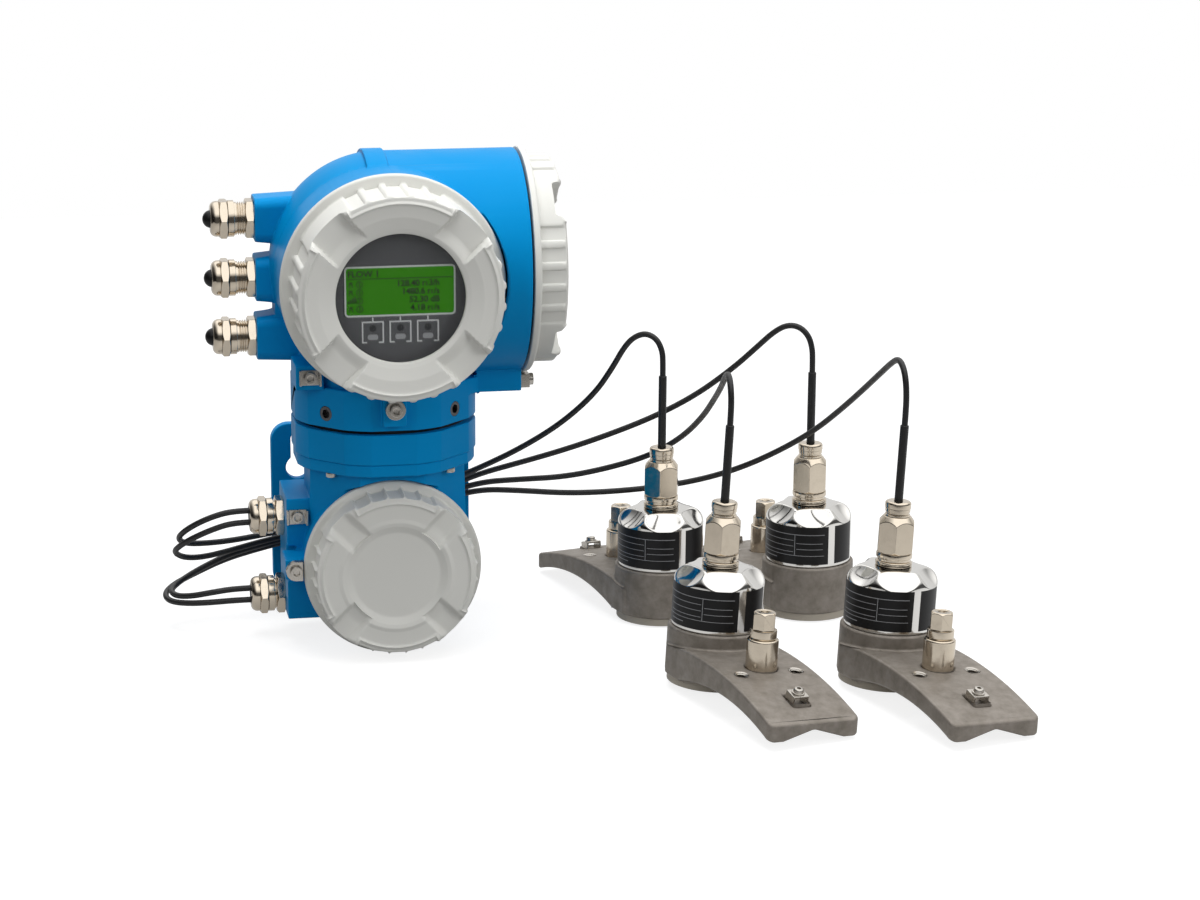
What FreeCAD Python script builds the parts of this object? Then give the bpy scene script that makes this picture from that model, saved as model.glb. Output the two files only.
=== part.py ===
import FreeCAD, Part
import math
import os
import re

import Sketcher
from FreeCAD import Placement, Rotation, Vector

# Clamp-on ultrasonic flow meter: a wall-mounted transmitter with a swivelling head
# and four strap-on transducers on their own cables.
# Frame: X to the right, Y back towards the wall, Z up, in millimetres.
# The origin is midway between the two lower wall bolts, on the bracket's back face.

# Driving dimensions
SIZES = {
    # Places of the main axes
    "stand_off": 85.0,
    "base_z": 31.0,
    "ground_z": -27.0,
    # Head housing
    "barrel_r": 71.6,
    "barrel_wall": 10.6,
    "body_rise": 3.3,
    "body_swell": 1.6,
    "front_reach": 60.0,
    "side_reach": 88.6,
    "cavity_r": 62.0,
    "side_bore_depth": 24.0,
    "band_width": 14.0,
    "band_proud": 1.6,
    "band_x": 12.0,
    "boss_reach": 82.2,
    "boss_side": 31.0,
    "boss_length": 46.0,
    "boss_pitch": 39.0,
    "boss_back": 10.0,
    "boss_drop": 5.5,
    "boss_round": 7.0,
    "web_reach": 70.0,
    "web_depth": 24.0,
    # Neck and swivel
    "neck_across": 119.0,
    "neck_z": 125.5,
    "neck_height": 26.0,
    "neck_bite": 2.1,
    "throat_r": 56.0,
    "throat_height": 24.0,
    "spigot_r": 40.0,
    "spigot_length": 18.0,
    "swivel_clearance": 0.08,
    "swivel_gap": 3.0,
    "ring_height": 20.0,
    "flange_height": 8.0,
    "passage_r": 20.0,
    "set_screw_r": 5.0,
    "set_screw_length": 8.0,
    "set_screw_rise": 9.0,
    "socket_r": 2.6,
    "ring_screw_r": 54.7,
    "ring_screw_head_r": 3.5,
    # Screwed lids
    "flange_proud": 0.7,
    "flange_thick": 4.5,
    "crown_inset": 5.8,
    "front_lid_depth": 47.5,
    "side_lid_depth": 22.0,
    "lid_engage": 12.0,
    "lid_wall": 5.0,
    "lid_face": 6.5,
    "lid_chamfer": 3.0,
    "thread_clearance": 0.08,
    "seal_gap": 1.5,
    "seal_width": 3.0,
    "seal_clearance": 0.15,
    "window_r": 41.0,
    "glass_lip": 3.0,
    "glass_edge": 3.0,
    "glass_thick": 6.0,
    "glass_clearance": 0.1,
    "dish": 4.5,
    "blind_dish": 1.5,
    "recess_width": 26.0,
    "recess_depth": 6.0,
    "recess_start": 45.0,
    "low_recess_width": 15.0,
    "low_recess_depth": 4.0,
    "groove_width": 9.5,
    "groove_depth": 1.8,
    "groove_angle": 12.0,
    "low_flange_r": 58.3,
    "low_crown_r": 53.5,
    "low_bore_r": 48.0,
    "low_lid_depth": 26.0,
    "low_dish_r": 33.0,
    # Display and electronics
    "display_r": 43.0,
    "display_thick": 8.0,
    "display_gap": 1.6,
    "screen_width": 70.0,
    "screen_height": 31.0,
    "screen_rise": 3.0,
    "screen_sink": 1.0,
    "carrier_r": 46.0,
    "carrier_gap": 0.3,
    "module_gap": 7.0,
    "block_width": 60.0,
    "block_height": 40.0,
    "block_depth": 14.0,
    # Connection housing
    "base_reach": 41.0,
    "base_back": 38.0,
    "base_barrel_r": 56.5,
    "base_bore_depth": 66.0,
    "column_across": 102.0,
    "column_foot": 20.0,
    "side_block_reach": 66.5,
    "side_block_front": 18.0,
    "side_block_back": 34.0,
    "side_block_low": -10.0,
    "side_block_top": 72.0,
    "side_notch_depth": 6.0,
    "side_notch_low": 16.0,
    "side_notch_top": 40.0,
    # Wall bracket
    "plate_width": 136.0,
    "plate_low": -17.0,
    "plate_top": 100.0,
    "plate_thick": 8.0,
    "plate_round": 12.0,
    "wall_bolt_r": 4.5,
    "wall_bolt_spacing": 100.0,
    "keyhole_r": 8.0,
    "keyhole_z": 69.0,
    "keyhole_rise": 20.0,
    "post_r": 7.0,
    "post_spacing": 27.0,
    "post_low_z": 8.0,
    "post_top_z": 84.0,
    "bolt_head_r": 5.0,
    "bolt_head_height": 5.0,
    "bolt_shank_r": 3.0,
    "bolt_bite": 8.0,
    "bolt_clearance": 0.1,
    # Cable glands
    "gland_hex": 24.0,
    "gland_flange": 5.5,
    "gland_thread_r": 10.5,
    "gland_thread": 7.0,
    "gland_nut": 8.0,
    "gland_dome": 7.5,
    "gland_mouth_r": 8.5,
    "seat_r": 7.5,
    "plug_proud": 5.0,
    "plug_r": 6.5,
    "sensor_gland_z": 0.5,
    "sensor_gland_pitch": 53.5,
    "sensor_gland_thread": 1.5,
    # Small hardware
    "clamp_r": 6.5,
    "clamp_thick": 5.0,
    "clamp_gap": 0.6,
    "side_clamp_height": 9.0,
    "lid_relief": 1.2,
    "lug_reach": 66.0,
    "side_lug_offset": 10.0,
    "side_lug_width": 30.0,
    "screw_head_r": 4.0,
    "screw_head_height": 3.0,
    "clip_width": 10.0,
    "clip_reach": 14.0,
    "clip_rise": 6.0,
    "clip_thick": 1.5,
    "earth_lug_x": 52.0,
    "earth_lug_reach": 43.0,
    "earth_lug_width": 18.0,
    "earth_lug_height": 15.0,
    "base_earth_z": 60.0,
    # Transducers
    "cup_r": 31.0,
    "cup_bore_r": 26.0,
    "cup_low": 5.0,
    "cup_top": 37.0,
    "pad_r": 29.5,
    "element_r": 25.5,
    "element_top": 62.0,
    "arm_reach": 134.0,
    "arm_width": 63.0,
    "arm_back": 10.0,
    "arm_crest_x": 36.0,
    "arm_crest_z": 27.5,
    "arm_round": 5.0,
    "arm_arc_r": 322.0,
    "vault_x": 66.0,
    "vault_z": 12.5,
    "vault_r": 205.0,
    "notch_half": 25.0,
    "notch_height": 7.5,
    "notch_length": 16.0,
    "arm_hole_r": 3.5,
    "arm_hole_x": 72.0,
    "arm_hole_y": 19.0,
    "stud_x": 62.0,
    "stud_seat_z": 24.0,
    "stud_r": 10.0,
    "stud_height": 21.0,
    "pin_r": 6.4,
    "pin_neck": 5.0,
    "pin_hex": 13.0,
    "pin_height": 12.0,
    "pin_hole_r": 3.0,
    "earth_x": 109.0,
    "earth_seat_z": 17.0,
    "cap_r": 29.0,
    "cap_gap": 0.3,
    "cap_height": 38.6,
    "cap_shoulder": 11.0,
    "cap_wall": 2.5,
    "cap_roof": 10.0,
    "dimple_r": 13.0,
    "dimple_out": 32.4,
    "dimple_up": 3.6,
    "stem_r": 9.0,
    "stem_clearance": 0.1,
    "collar_r": 11.7,
    "collar_height": 3.2,
    "collar_groove": 1.6,
    "collar_groove_r": 10.3,
    "connector_hex": 22.0,
    "connector_hex_height": 24.0,
    "connector_chamfer": 3.0,
    "connector_neck_r": 7.6,
    "connector_neck": 5.0,
    "connector_nut_r": 8.2,
    "connector_nut_height": 4.6,
    "sleeve_r": 2.75,
    "sleeve_length": 53.5,
    "sleeve_lead": 8.4,
    "cable_r": 2.0,
    # Where the transducers stand
    "arm_turn": 15.0,
    "rear_lean": 0.3,
    "front_lean": 3.5,
    "sensor_1_x": 189.0,
    "sensor_1_y": -78.0,
    "sensor_2_x": 291.0,
    "sensor_2_y": -83.0,
    "sensor_3_x": 192.5,
    "sensor_3_y": -231.0,
    "sensor_4_x": 301.0,
    "sensor_4_y": -249.0,
}

# Cable routes from the gland inserts, round behind the housing, towards the transducers.
# Each ends with a short lead straight down into that transducer's kink sleeve.
ROUTES = {
    1: [
        (-89, -75, 58), (-100, -75, 58), (-112, -74, 55), (-124, -70, 49), (-133, -62, 41),
        (-135, -52, 34), (-129, -42, 28), (-115, -36, 26), (-98, -32, 26), (-77, -28.5, 28),
        (-51, -27, 32), (-20, -26, 38), (11, -25, 46), (42, -25, 56), (72, -27, 68),
        (100, -32, 82), (127, -39, 100), (149, -47, 122), (160, -55, 142), (166, -61, 156),
        (171.5, -66.5, 164.5), (179, -72, 168.5), (186, -75.8, 165), (189.5, -77.5, 156.8),
    ],
    2: [
        (-89, -75, 50), (-100, -75, 50), (-113, -74, 46), (-126, -70, 39.5), (-135, -62, 32),
        (-138, -51, 25), (-131, -41, 18), (-118, -35, 16), (-100, -31, 18.5), (-78, -25.5, 22.5),
        (-51, -23, 27), (-20, -22, 33), (12, -21, 41), (43, -21, 51), (72, -23, 63),
        (101, -27, 71), (131, -32, 80), (161, -38, 91), (191, -45, 104), (219, -52, 120),
        (243, -60, 140), (258, -67, 156), (267, -72, 166), (275, -76, 171.5), (283, -79.5, 171),
        (289, -82, 165), (291.5, -82.7, 156.5),
    ],
    3: [
        (-89, -75, 4.5), (-100, -75, 4.5), (-114, -74, 2.5), (-128, -69, -1), (-138, -60, -3),
        (-141, -49, -2), (-134, -39, 1), (-120, -31.5, 7), (-100, -26, 14.5), (-77, -21, 19),
        (-51, -18.5, 23.5), (-20, -17.5, 29.5), (12, -16.5, 37), (43, -16.5, 46), (73, -18.5, 56),
        (101, -23, 58), (132, -29, 60), (162, -36, 67), (188, -46, 77), (205, -68, 94),
        (212, -102, 116), (212, -140, 138), (209, -172, 153), (206, -195, 164),
        (204.5, -208, 169.5), (203.5, -218, 171), (203, -225, 167), (202.9, -228.2, 159),
    ],
    4: [
        (-89, -75, -3.5), (-100, -75, -3.5), (-115, -74, -4.5), (-130, -69, -6), (-142, -59, -7),
        (-145, -47, -5), (-138, -35, -2), (-122, -26.5, 3), (-102, -20.5, 10), (-77, -16.5, 15.5),
        (-51, -14, 20.5), (-20, -13, 26.5), (12, -12.5, 33.5), (43, -12.5, 41.5), (73, -14.5, 50),
        (102, -19, 49), (133, -24, 47), (163, -29, 48), (194, -34, 51), (225, -41, 57),
        (250, -58, 69), (271, -84, 87), (287, -113, 107), (298, -145, 130), (304.5, -177, 151),
        (308, -204, 167.5), (309, -222, 177), (309.6, -233, 181), (310.3, -241.5, 178),
        (311, -245.8, 170), (311.5, -246.3, 160),
    ],
}
CORNER_SHARE = 0.45

# Sizes that follow from others: the lids take theirs from the barrels that they close
FOLLOWING = {
    "head_z": "neck_z + neck_height + barrel_r - neck_bite",
    "bore_r": "barrel_r - barrel_wall",
    "module_r": "bore_r - module_gap",
    "flange_r": "barrel_r + flange_proud",
    "crown_r": "flange_r - crown_inset",
    "body_z": "head_z + body_rise",
    "body_r": "barrel_r + body_swell",
    "side_bore_r": "body_r - barrel_wall",
    "side_flange_r": "body_r + flange_proud",
    "side_crown_r": "side_flange_r - crown_inset",
}

doc = FreeCAD.newDocument("ClampOnFlowMeter")
sheet = doc.addObject("Spreadsheet::Sheet", "Sizes")
for row, (alias, value) in enumerate(SIZES.items(), start=1):
    sheet.set(f"A{row}", alias)
    sheet.set(f"B{row}", str(value))
    sheet.setAlias(f"B{row}", alias)
for row, (alias, text) in enumerate(FOLLOWING.items(), start=len(SIZES) + 1):
    sheet.set(f"A{row}", alias)
    sheet.set(f"B{row}", "=" + text)
    sheet.setAlias(f"B{row}", alias)
ALIASES = {*SIZES, *FOLLOWING}
doc.recompute()

ALONG = {
    "+Z": Rotation(),
    "-Z": Rotation(Vector(1, 0, 0), 180),
    "+X": Rotation(Vector(0, 1, 0), 90),
    "-X": Rotation(Vector(0, 1, 0), -90),
    "-Y": Rotation(Vector(1, 0, 0), 90),
    "+Y": Rotation(Vector(1, 0, 0), -90),
}
ORIGIN = ("0", "0", "0")
AXIS = ("0", "-stand_off")
QUARTERS = (0, 90, 180, 270)
nodes = []


def formula(text):
    """Point each size that a formula names at its cell in the sheet."""
    return re.sub(r"[a-z]\w*", lambda w: f"Sizes.{w[0]}" if w[0] in ALIASES else w[0], text)


def number(text):
    """Present value of a formula."""
    return float(sheet.evalExpression(formula(text)))


def put(piece, at=ORIGIN, turn=ALONG["+Z"]):
    """Place a piece by a turn and three formulas."""
    piece.Placement = Placement(Vector(*(number(text) for text in at)), turn)
    for letter, text in zip("xyz", at):
        piece.setExpression(f"Placement.Base.{letter}", formula(text))
    return piece


def solid(kind, label, sizes, at=ORIGIN, turn=ALONG["+Z"]):
    """A primitive whose sizes are bound to the sheet."""
    piece = doc.addObject(f"Part::{kind}", label)
    for name, text in sizes.items():
        piece.setExpression(name, formula(text))
    return put(piece, at, turn)


def cylinder(label, radius, height, at=ORIGIN, along="+Z"):
    return solid("Cylinder", label, {"Radius": radius, "Height": height}, at, ALONG[along])


def block(label, low, high):
    """A box between two corners, each given by three formulas."""
    spans = {name: f"({b}) - ({a})" for name, a, b in zip(("Length", "Width", "Height"), low, high)}
    return solid("Box", label, spans, low)


def prism(label, sides, across, height, at, along="+Z"):
    """A regular prism given by its width across flats, one flat facing its own X axis."""
    half_angle = 180 / sides
    sizes = {"Circumradius": f"({across}) / 2 / cos({half_angle})", "Height": height}
    turn = ALONG[along].multiply(Rotation(Vector(0, 0, 1), half_angle))
    piece = solid("Prism", label, sizes, at, turn)
    piece.Polygon = sides
    return piece


def fuse(label, *pieces):
    whole = doc.addObject("Part::MultiFuse", label)
    whole.Shapes = list(pieces)
    return whole


def group(label, *pieces):
    """Separate solids kept together in one piece."""
    whole = doc.addObject("Part::Compound", label)
    whole.Links = list(pieces)
    return whole


def cut(label, base, *tools):
    """Take tools that don't touch each other away from a piece."""
    whole = doc.addObject("Part::Cut", label)
    whole.Base = base
    whole.Tool = tools[0] if len(tools) == 1 else group(label + "_tools", *tools)
    return whole


def common(label, first, second):
    whole = doc.addObject("Part::Common", label)
    whole.Base = first
    whole.Tool = second
    return whole


def eased(label, base, radius, letter):
    """Round the edges of a block that run along one axis."""
    doc.recompute()
    size = number(radius)
    picks = []
    for n, edge in enumerate(base.Shape.Edges, start=1):
        if abs(getattr(edge.Curve.Direction, letter)) > 0.999:
            picks.append((n, size, size))
    whole = doc.addObject("Part::Fillet", label)
    whole.Base = base
    whole.Edges = picks
    return whole


def outline(body, role, points):
    """A closed straight-sided sketch whose corners are bound to formulas."""
    plane = next(f for f in body.Origin.OriginFeatures if f.Role == role)
    sketch = body.newObject("Sketcher::SketchObject", body.Name + "_outline")
    sketch.AttachmentSupport = [(plane, "")]
    sketch.MapMode = "FlatFace"
    corners = [Vector(number(x), number(y), 0) for x, y in points]
    for start, end in zip(corners, corners[1:] + corners[:1]):
        sketch.addGeometry(Part.LineSegment(start, end))
    for side in range(len(points)):
        sketch.addConstraint(Sketcher.Constraint("Coincident", side, 2, (side + 1) % len(points), 1))
    for side, corner in enumerate(points):
        for kind, axis_line, text in zip(("DistanceX", "DistanceY"), (-2, -1), corner):
            if text == "0":
                sketch.addConstraint(Sketcher.Constraint("PointOnObject", side, 1, axis_line))
                continue
            bond = sketch.addConstraint(Sketcher.Constraint(kind, -1, 1, side, 1, number(text)))
            sketch.setExpression(f"Constraints[{bond}]", formula(text))
    return sketch


def turned(label, points):
    """A body turned about its own Z axis from (radius, height) corners."""
    body = doc.addObject("PartDesign::Body", label)
    sketch = outline(body, "XZ_Plane", points)
    feature = body.newObject("PartDesign::Revolution", label + "_turn")
    feature.Profile = sketch
    feature.ReferenceAxis = (sketch, ["V_Axis"])
    feature.Angle = 360
    return body


def padded(label, points, height):
    """A body padded up its own Z axis from (x, y) corners."""
    body = doc.addObject("PartDesign::Body", label)
    sketch = outline(body, "XY_Plane", points)
    feature = body.newObject("PartDesign::Pad", label + "_pad")
    feature.Profile = sketch
    feature.setExpression("Length", formula(height))
    return body


def round_rim(body, radius, rim_radius, rim_height):
    """Round the circular edge of a turned body at a radius and height."""
    doc.recompute()
    wanted = (number(rim_radius), number(rim_height))
    for n, edge in enumerate(body.Tip.Shape.Edges, start=1):
        if not isinstance(edge.Curve, Part.Circle):
            continue
        found = (edge.Curve.Radius, edge.Curve.Center.z)
        if max(abs(a - b) for a, b in zip(wanted, found)) < 0.01:
            tip = body.Tip
            feature = body.newObject("PartDesign::Fillet", body.Name + "_rim")
            feature.Base = (tip, [f"Edge{n}"])
            feature.setExpression("Radius", formula(radius))
            return body
    raise ValueError(f"no rim on {body.Label}")


def node(piece):
    """Keep a finished piece as one of the part's nodes."""
    nodes.append(piece)
    return piece


# Head housing: two barrels at a right angle, a domed back, three cable bosses and a faceted neck
HEAD = ("0", "-stand_off", "head_z")
BODY = ("0", "-stand_off", "body_z")
FRONT_Y = "-stand_off - front_reach"
FLANGE_LOW = "head_z - flange_r - clamp_gap"
SIDE_FLANGE_LOW = "body_z - side_flange_r - clamp_gap"
SIDE_LUG_Y = "-stand_off - side_lug_offset"
EARTH_LUG_Y = "-stand_off - earth_lug_reach"
NECK_TOP = "neck_z + neck_height"


def boss_at(step):
    return ("-boss_reach", "-stand_off + boss_back", f"head_z - boss_drop + {step} * boss_pitch")


def head_bosses():
    """Three rounded cable bosses on the left, joined by a web."""
    pieces = []
    for step in (-1, 0, 1):
        x, y, z = boss_at(step)
        raw = block(f"boss_raw_{step + 2}", (x, f"{y} - boss_side / 2", f"{z} - boss_side / 2"),
                    (f"{x} + boss_length", f"{y} + boss_side / 2", f"{z} + boss_side / 2"))
        pieces.append(eased(f"boss_{step + 2}", raw, "boss_round", "x"))
    web_y = "-stand_off + boss_back - web_depth / 2"
    pieces.append(block("boss_web", ("-web_reach", web_y, "head_z - boss_drop - boss_pitch"),
                        ("-barrel_r / 2", f"{web_y} + web_depth", "head_z - boss_drop + boss_pitch")))
    return pieces


def head_lugs():
    """Lugs under the two lids for their clamps, and one for the earth terminal."""
    return [
        block("front_lug", ("-clamp_r - 1", "-stand_off - lug_reach", "neck_z + 4"),
              ("clamp_r + 1", "-stand_off - throat_r", FLANGE_LOW)),
        block("side_lug",
              ("side_reach - side_lug_width", f"{SIDE_LUG_Y} - side_lug_width / 2",
               f"{SIDE_FLANGE_LOW} - side_clamp_height"),
              ("side_reach", f"{SIDE_LUG_Y} + side_lug_width / 2", "body_z - body_r * 0.7")),
        block("earth_lug", ("-earth_lug_x - earth_lug_width / 2", EARTH_LUG_Y, f"{NECK_TOP} - 1"),
              ("-earth_lug_x + earth_lug_width / 2", "-stand_off - 8", f"{NECK_TOP} + earth_lug_height")),
    ]


def set_screw_at(side):
    inset = "(neck_across / 2 - set_screw_length) * cos(45)"
    return (f"{side} * {inset}", f"-stand_off - {inset}", "neck_z + set_screw_rise")


def set_screw_turn(side):
    """Direction square to a slanted facet of the neck."""
    return Rotation(Vector(0, 0, 1), Vector(side, -1, 0))


def head_housing():
    outside = fuse(
        "head_outside",
        solid("Sphere", "head_dome", {"Radius": "body_r"}, BODY),
        cylinder("front_barrel", "barrel_r", "front_reach", HEAD, "-Y"),
        cylinder("side_barrel", "body_r", "side_reach", BODY, "+X"),
        cylinder("head_band", "body_r + band_proud", "band_width", ("-band_x", *BODY[1:]), "+X"),
        prism("neck_facets", 8, "neck_across", "neck_height", (*AXIS, "neck_z")),
        cylinder("neck_throat", "throat_r", "throat_height", (*AXIS, NECK_TOP)),
        cylinder("neck_spigot", "spigot_r", "spigot_length", (*AXIS, "neck_z - spigot_length")),
        *head_lugs(),
        *head_bosses(),
    )
    hollow = fuse(
        "head_hollow",
        cylinder("front_relief", "flange_r + lid_relief", "front_lid_depth", ("0", FRONT_Y, "head_z"), "-Y"),
        cylinder("front_hollow", "bore_r", "front_reach", ("0", FRONT_Y, "head_z"), "+Y"),
        solid("Sphere", "head_cavity", {"Radius": "cavity_r"}, HEAD),
        cylinder("neck_passage", "passage_r", "head_z - neck_z + spigot_length",
                 (*AXIS, "neck_z - spigot_length")),
    )
    tools = [hollow, cylinder("side_hollow", "side_bore_r", "side_bore_depth", ("side_reach", *BODY[1:]), "-X")]
    for side in (-1, 1):
        sizes = {"Radius": "set_screw_r", "Height": "set_screw_length + 1"}
        tools.append(solid("Cylinder", f"set_screw_seat_{side + 2}", sizes, set_screw_at(side),
                           set_screw_turn(side)))
    node(cut("head_housing", outside, *tools))


def neck_set_screws():
    pieces = []
    for side in (-1, 1):
        shank = cylinder(f"set_screw_shank_{side + 2}", "set_screw_r - bolt_clearance", "set_screw_length")
        socket = prism(f"set_screw_socket_{side + 2}", 6, "socket_r * 2", "set_screw_length",
                       ("0", "0", "set_screw_length / 2"))
        screw = cut(f"set_screw_{side + 2}", shank, socket)
        pieces.append(put(screw, set_screw_at(side), set_screw_turn(side)))
    node(group("neck_set_screws", *pieces))


# Screwed lids: a threaded spigot, a thin flange, and a crown with finger grooves and broad recesses
def lid_place(piece, reach, centre_z, along):
    """Seat a lid so that its flange stands the seal's gap off the joint face."""
    inward = f"{reach} + seal_gap - lid_engage"
    at = {"-Y": ("0", f"-stand_off - ({inward})", centre_z), "+X": (inward, "-stand_off", centre_z)}[along]
    return put(piece, at, ALONG[along])


def spoke_block(label, start, end, width, low, high, angle):
    """A box lying on a spoke from one radius to another, centred on the spoke."""
    sizes = {"Length": f"({end}) - ({start})", "Width": width, "Height": f"({high}) - ({low})"}
    at = (f"({start}) * cos({angle}) + ({width}) / 2 * sin({angle})",
          f"({start}) * sin({angle}) - ({width}) / 2 * cos({angle})", low)
    return solid("Box", label, sizes, at, Rotation(Vector(0, 0, 1), angle))


def grips(label, crown, front, start, width, depth):
    """Cutting tools round a crown: groups of finger grooves between four broad recesses."""
    tools = []
    for quarter in QUARTERS:
        for step in (-2, -1, 0, 1, 2):
            tools.append(spoke_block(
                f"{label}_groove_{quarter}_{step + 3}", f"{crown} - groove_depth", f"{crown} + groove_width",
                "groove_width", "lid_engage + flange_thick", f"{front} + recess_depth",
                quarter + step * number("groove_angle")))
        tools.append(spoke_block(
            f"{label}_recess_{quarter}", start, f"{crown} + {depth}", width,
            f"{front} - {depth}", f"{front} + {depth}", quarter + 45))
    return tools


def lid(label, bore, flange, crown, depth, face, recess, reach, centre_z, along):
    """A screwed lid: its rim profile, then the face corners that close it towards the axis."""
    front = f"lid_engage + {depth}"
    inside = f"{bore} - thread_clearance - lid_wall"
    corners = [
        (inside, "0"),
        (f"{bore} - thread_clearance", "0"),
        (f"{bore} - thread_clearance", "lid_engage"),
        (flange, "lid_engage"),
        (flange, "lid_engage + flange_thick"),
        (crown, "lid_engage + flange_thick"),
        (crown, f"{front} - lid_chamfer"),
        (f"{crown} - lid_chamfer", front),
    ]
    for radius, sink in face:
        corners.append((radius, f"{front} - ({sink})"))
    corners.append((inside, corners[-1][1]))
    blank = turned(label + "_blank", corners)
    whole = cut(label, blank, *grips(label, crown, front, *recess))
    node(lid_place(whole, reach, centre_z, along))


def lid_seal(label, bore, reach, centre_z, along):
    """Flat ring between a lid's flange and the joint face."""
    low = "lid_engage - seal_gap + seal_clearance"
    high = "lid_engage - seal_clearance"
    inner = f"{bore} + seal_clearance"
    outer = f"{bore} + seal_width"
    ring = turned(label, [(inner, low), (outer, low), (outer, high), (inner, high)])
    node(lid_place(ring, reach, centre_z, along))


def blind_face(radius):
    """Face corners of a lid without a window, dished a little in the middle."""
    floor = f"{radius} - 2 * blind_dish"
    return [(radius, "0"), (floor, "blind_dish"), ("0", "blind_dish"), ("0", "blind_dish + lid_face")]


def lids():
    lip = "window_r + glass_lip"
    seat = "dish + glass_edge"
    window = [
        ("crown_r - 2 * lid_chamfer", "0"), ("window_r", "dish"), ("window_r", seat),
        (f"{lip} + glass_clearance", seat), (f"{lip} + glass_clearance", f"{seat} + glass_thick"),
    ]
    front = ("front_reach", "head_z", "-Y")
    terminal = ("side_reach", "body_z", "+X")
    connection = ("base_reach", "base_z", "-Y")
    large = ("bore_r", "flange_r", "crown_r")
    side = ("side_bore_r", "side_flange_r", "side_crown_r")
    small = ("low_bore_r", "low_flange_r", "low_crown_r")
    broad = ("recess_start", "recess_width", "recess_depth")
    narrow = ("low_dish_r", "low_recess_width", "low_recess_depth")
    lid("front_lid", *large, "front_lid_depth", window, broad, *front)
    lid("terminal_lid", *side, "side_lid_depth", blind_face("recess_start"), broad, *terminal)
    lid("connection_lid", *small, "low_lid_depth", blind_face("low_dish_r"), narrow, *connection)
    high = f"lid_engage + front_lid_depth - ({seat})"
    low = f"{high} - glass_thick"
    glass = turned("sight_glass", [("0", low), (lip, low), (lip, high), ("0", high)])
    node(lid_place(glass, *front))
    lid_seal("front_lid_seal", "bore_r", *front)
    lid_seal("terminal_lid_seal", "side_bore_r", *terminal)
    lid_seal("connection_lid_seal", "low_bore_r", *connection)


# Inside of the head: a turning display on the electronics module, and the supply terminals
def head_inside():
    glass_back = "front_reach + seal_gap + front_lid_depth - dish - glass_edge - glass_thick"
    face_y = f"-stand_off - ({glass_back}) + display_gap"
    screen_z = "head_z + screen_rise"
    disc = cylinder("display_disc", "display_r", "display_thick", ("0", f"{face_y} + display_thick", "head_z"), "-Y")
    screen = block("screen_recess", ("-screen_width / 2", f"{face_y} - 1", f"{screen_z} - screen_height / 2"),
                   ("screen_width / 2", f"{face_y} + screen_sink", f"{screen_z} + screen_height / 2"))
    node(cut("display_panel", disc, screen))
    carrier_depth = f"({FRONT_Y}) - ({face_y} + display_thick)"
    node(cylinder("display_carrier", "carrier_r", carrier_depth, ("0", FRONT_Y, "head_z"), "-Y"))
    seat = "sqrt(cavity_r ^ 2 - module_r ^ 2)"
    node(cylinder("electronics_module", "module_r", f"front_reach - carrier_gap + {seat} - bolt_clearance",
                  ("0", f"{FRONT_Y} + carrier_gap", "head_z"), "+Y"))
    floor_x = "side_reach - side_bore_depth"
    node(block("terminal_block", (floor_x, "-stand_off - block_width / 2", "body_z - block_height / 2"),
               (f"{floor_x} + block_depth", "-stand_off + block_width / 2", "body_z + block_height / 2")))


# Cable glands: hexagon body, domed nut, and a plug or a two-hole insert
def gland(label, thread, at):
    """Body and nut of one gland that stands on a face and points left."""
    x, y, z = at
    hexagon = prism(label + "_hexagon", 6, "gland_hex", "gland_flange", at, "-X")
    neck = cylinder(label + "_thread", "gland_thread_r", thread, (f"{x} - gland_flange", y, z), "-X")
    body = fuse(label + "_body", hexagon, neck)
    nut_at = (f"{x} - gland_flange - {thread}", y, z)
    flats = prism(label + "_flats", 6, "gland_hex", "gland_nut", nut_at, "-X")
    dome = turned(label + "_dome", [("0", "0"), ("gland_hex / 2", "0"), ("gland_mouth_r", "gland_dome"),
                                    ("0", "gland_dome")])
    put(dome, (f"{nut_at[0]} - gland_nut", y, z), ALONG["-X"])
    mouth = cylinder(label + "_mouth", "seat_r + bolt_clearance", "gland_nut + gland_dome", nut_at, "-X")
    nut = cut(label + "_nut", fuse(label + "_nut_solid", flats, dome), mouth)
    return body, nut, nut_at


def head_glands():
    bodies, nuts, plugs = [], [], []
    mouth = "gland_nut + gland_dome"
    for step in (-1, 0, 1):
        label = f"head_gland_{step + 2}"
        body, nut, nut_at = gland(label, "gland_thread", boss_at(step))
        plug = turned(label + "_plug", [("0", "0"), ("seat_r", "0"), ("seat_r", mouth), ("plug_r", mouth),
                                        ("plug_r", f"{mouth} + plug_proud"), ("0", f"{mouth} + plug_proud")])
        round_rim(plug, "plug_proud * 0.8", "plug_r", f"{mouth} + plug_proud")
        bodies.append(body)
        nuts.append(nut)
        plugs.append(put(plug, nut_at, ALONG["-X"]))
    node(group("head_gland_bodies", *bodies))
    node(group("head_gland_nuts", *nuts))
    node(group("head_gland_plugs", *plugs))


def sensor_glands():
    bodies, nuts, inserts = [], [], []
    for step in (0, 1):
        label = f"sensor_gland_{step + 1}"
        at = ("-side_block_reach", "-stand_off + boss_back", f"sensor_gland_z + {step} * sensor_gland_pitch")
        body, nut, nut_at = gland(label, "sensor_gland_thread", at)
        bodies.append(body)
        nuts.append(nut)
        inserts.append(cylinder(label + "_insert", "seat_r", "gland_nut + gland_dome", nut_at, "-X"))
    node(group("sensor_gland_bodies", *bodies))
    node(group("sensor_gland_nuts", *nuts))
    node(group("sensor_gland_inserts", *inserts))


# Swivel: a faceted ring on the connection housing carries the head's spigot
RING_Z = "neck_z - swivel_gap - ring_height"
FLANGE_Z = f"{RING_Z} - flange_height"


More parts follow.
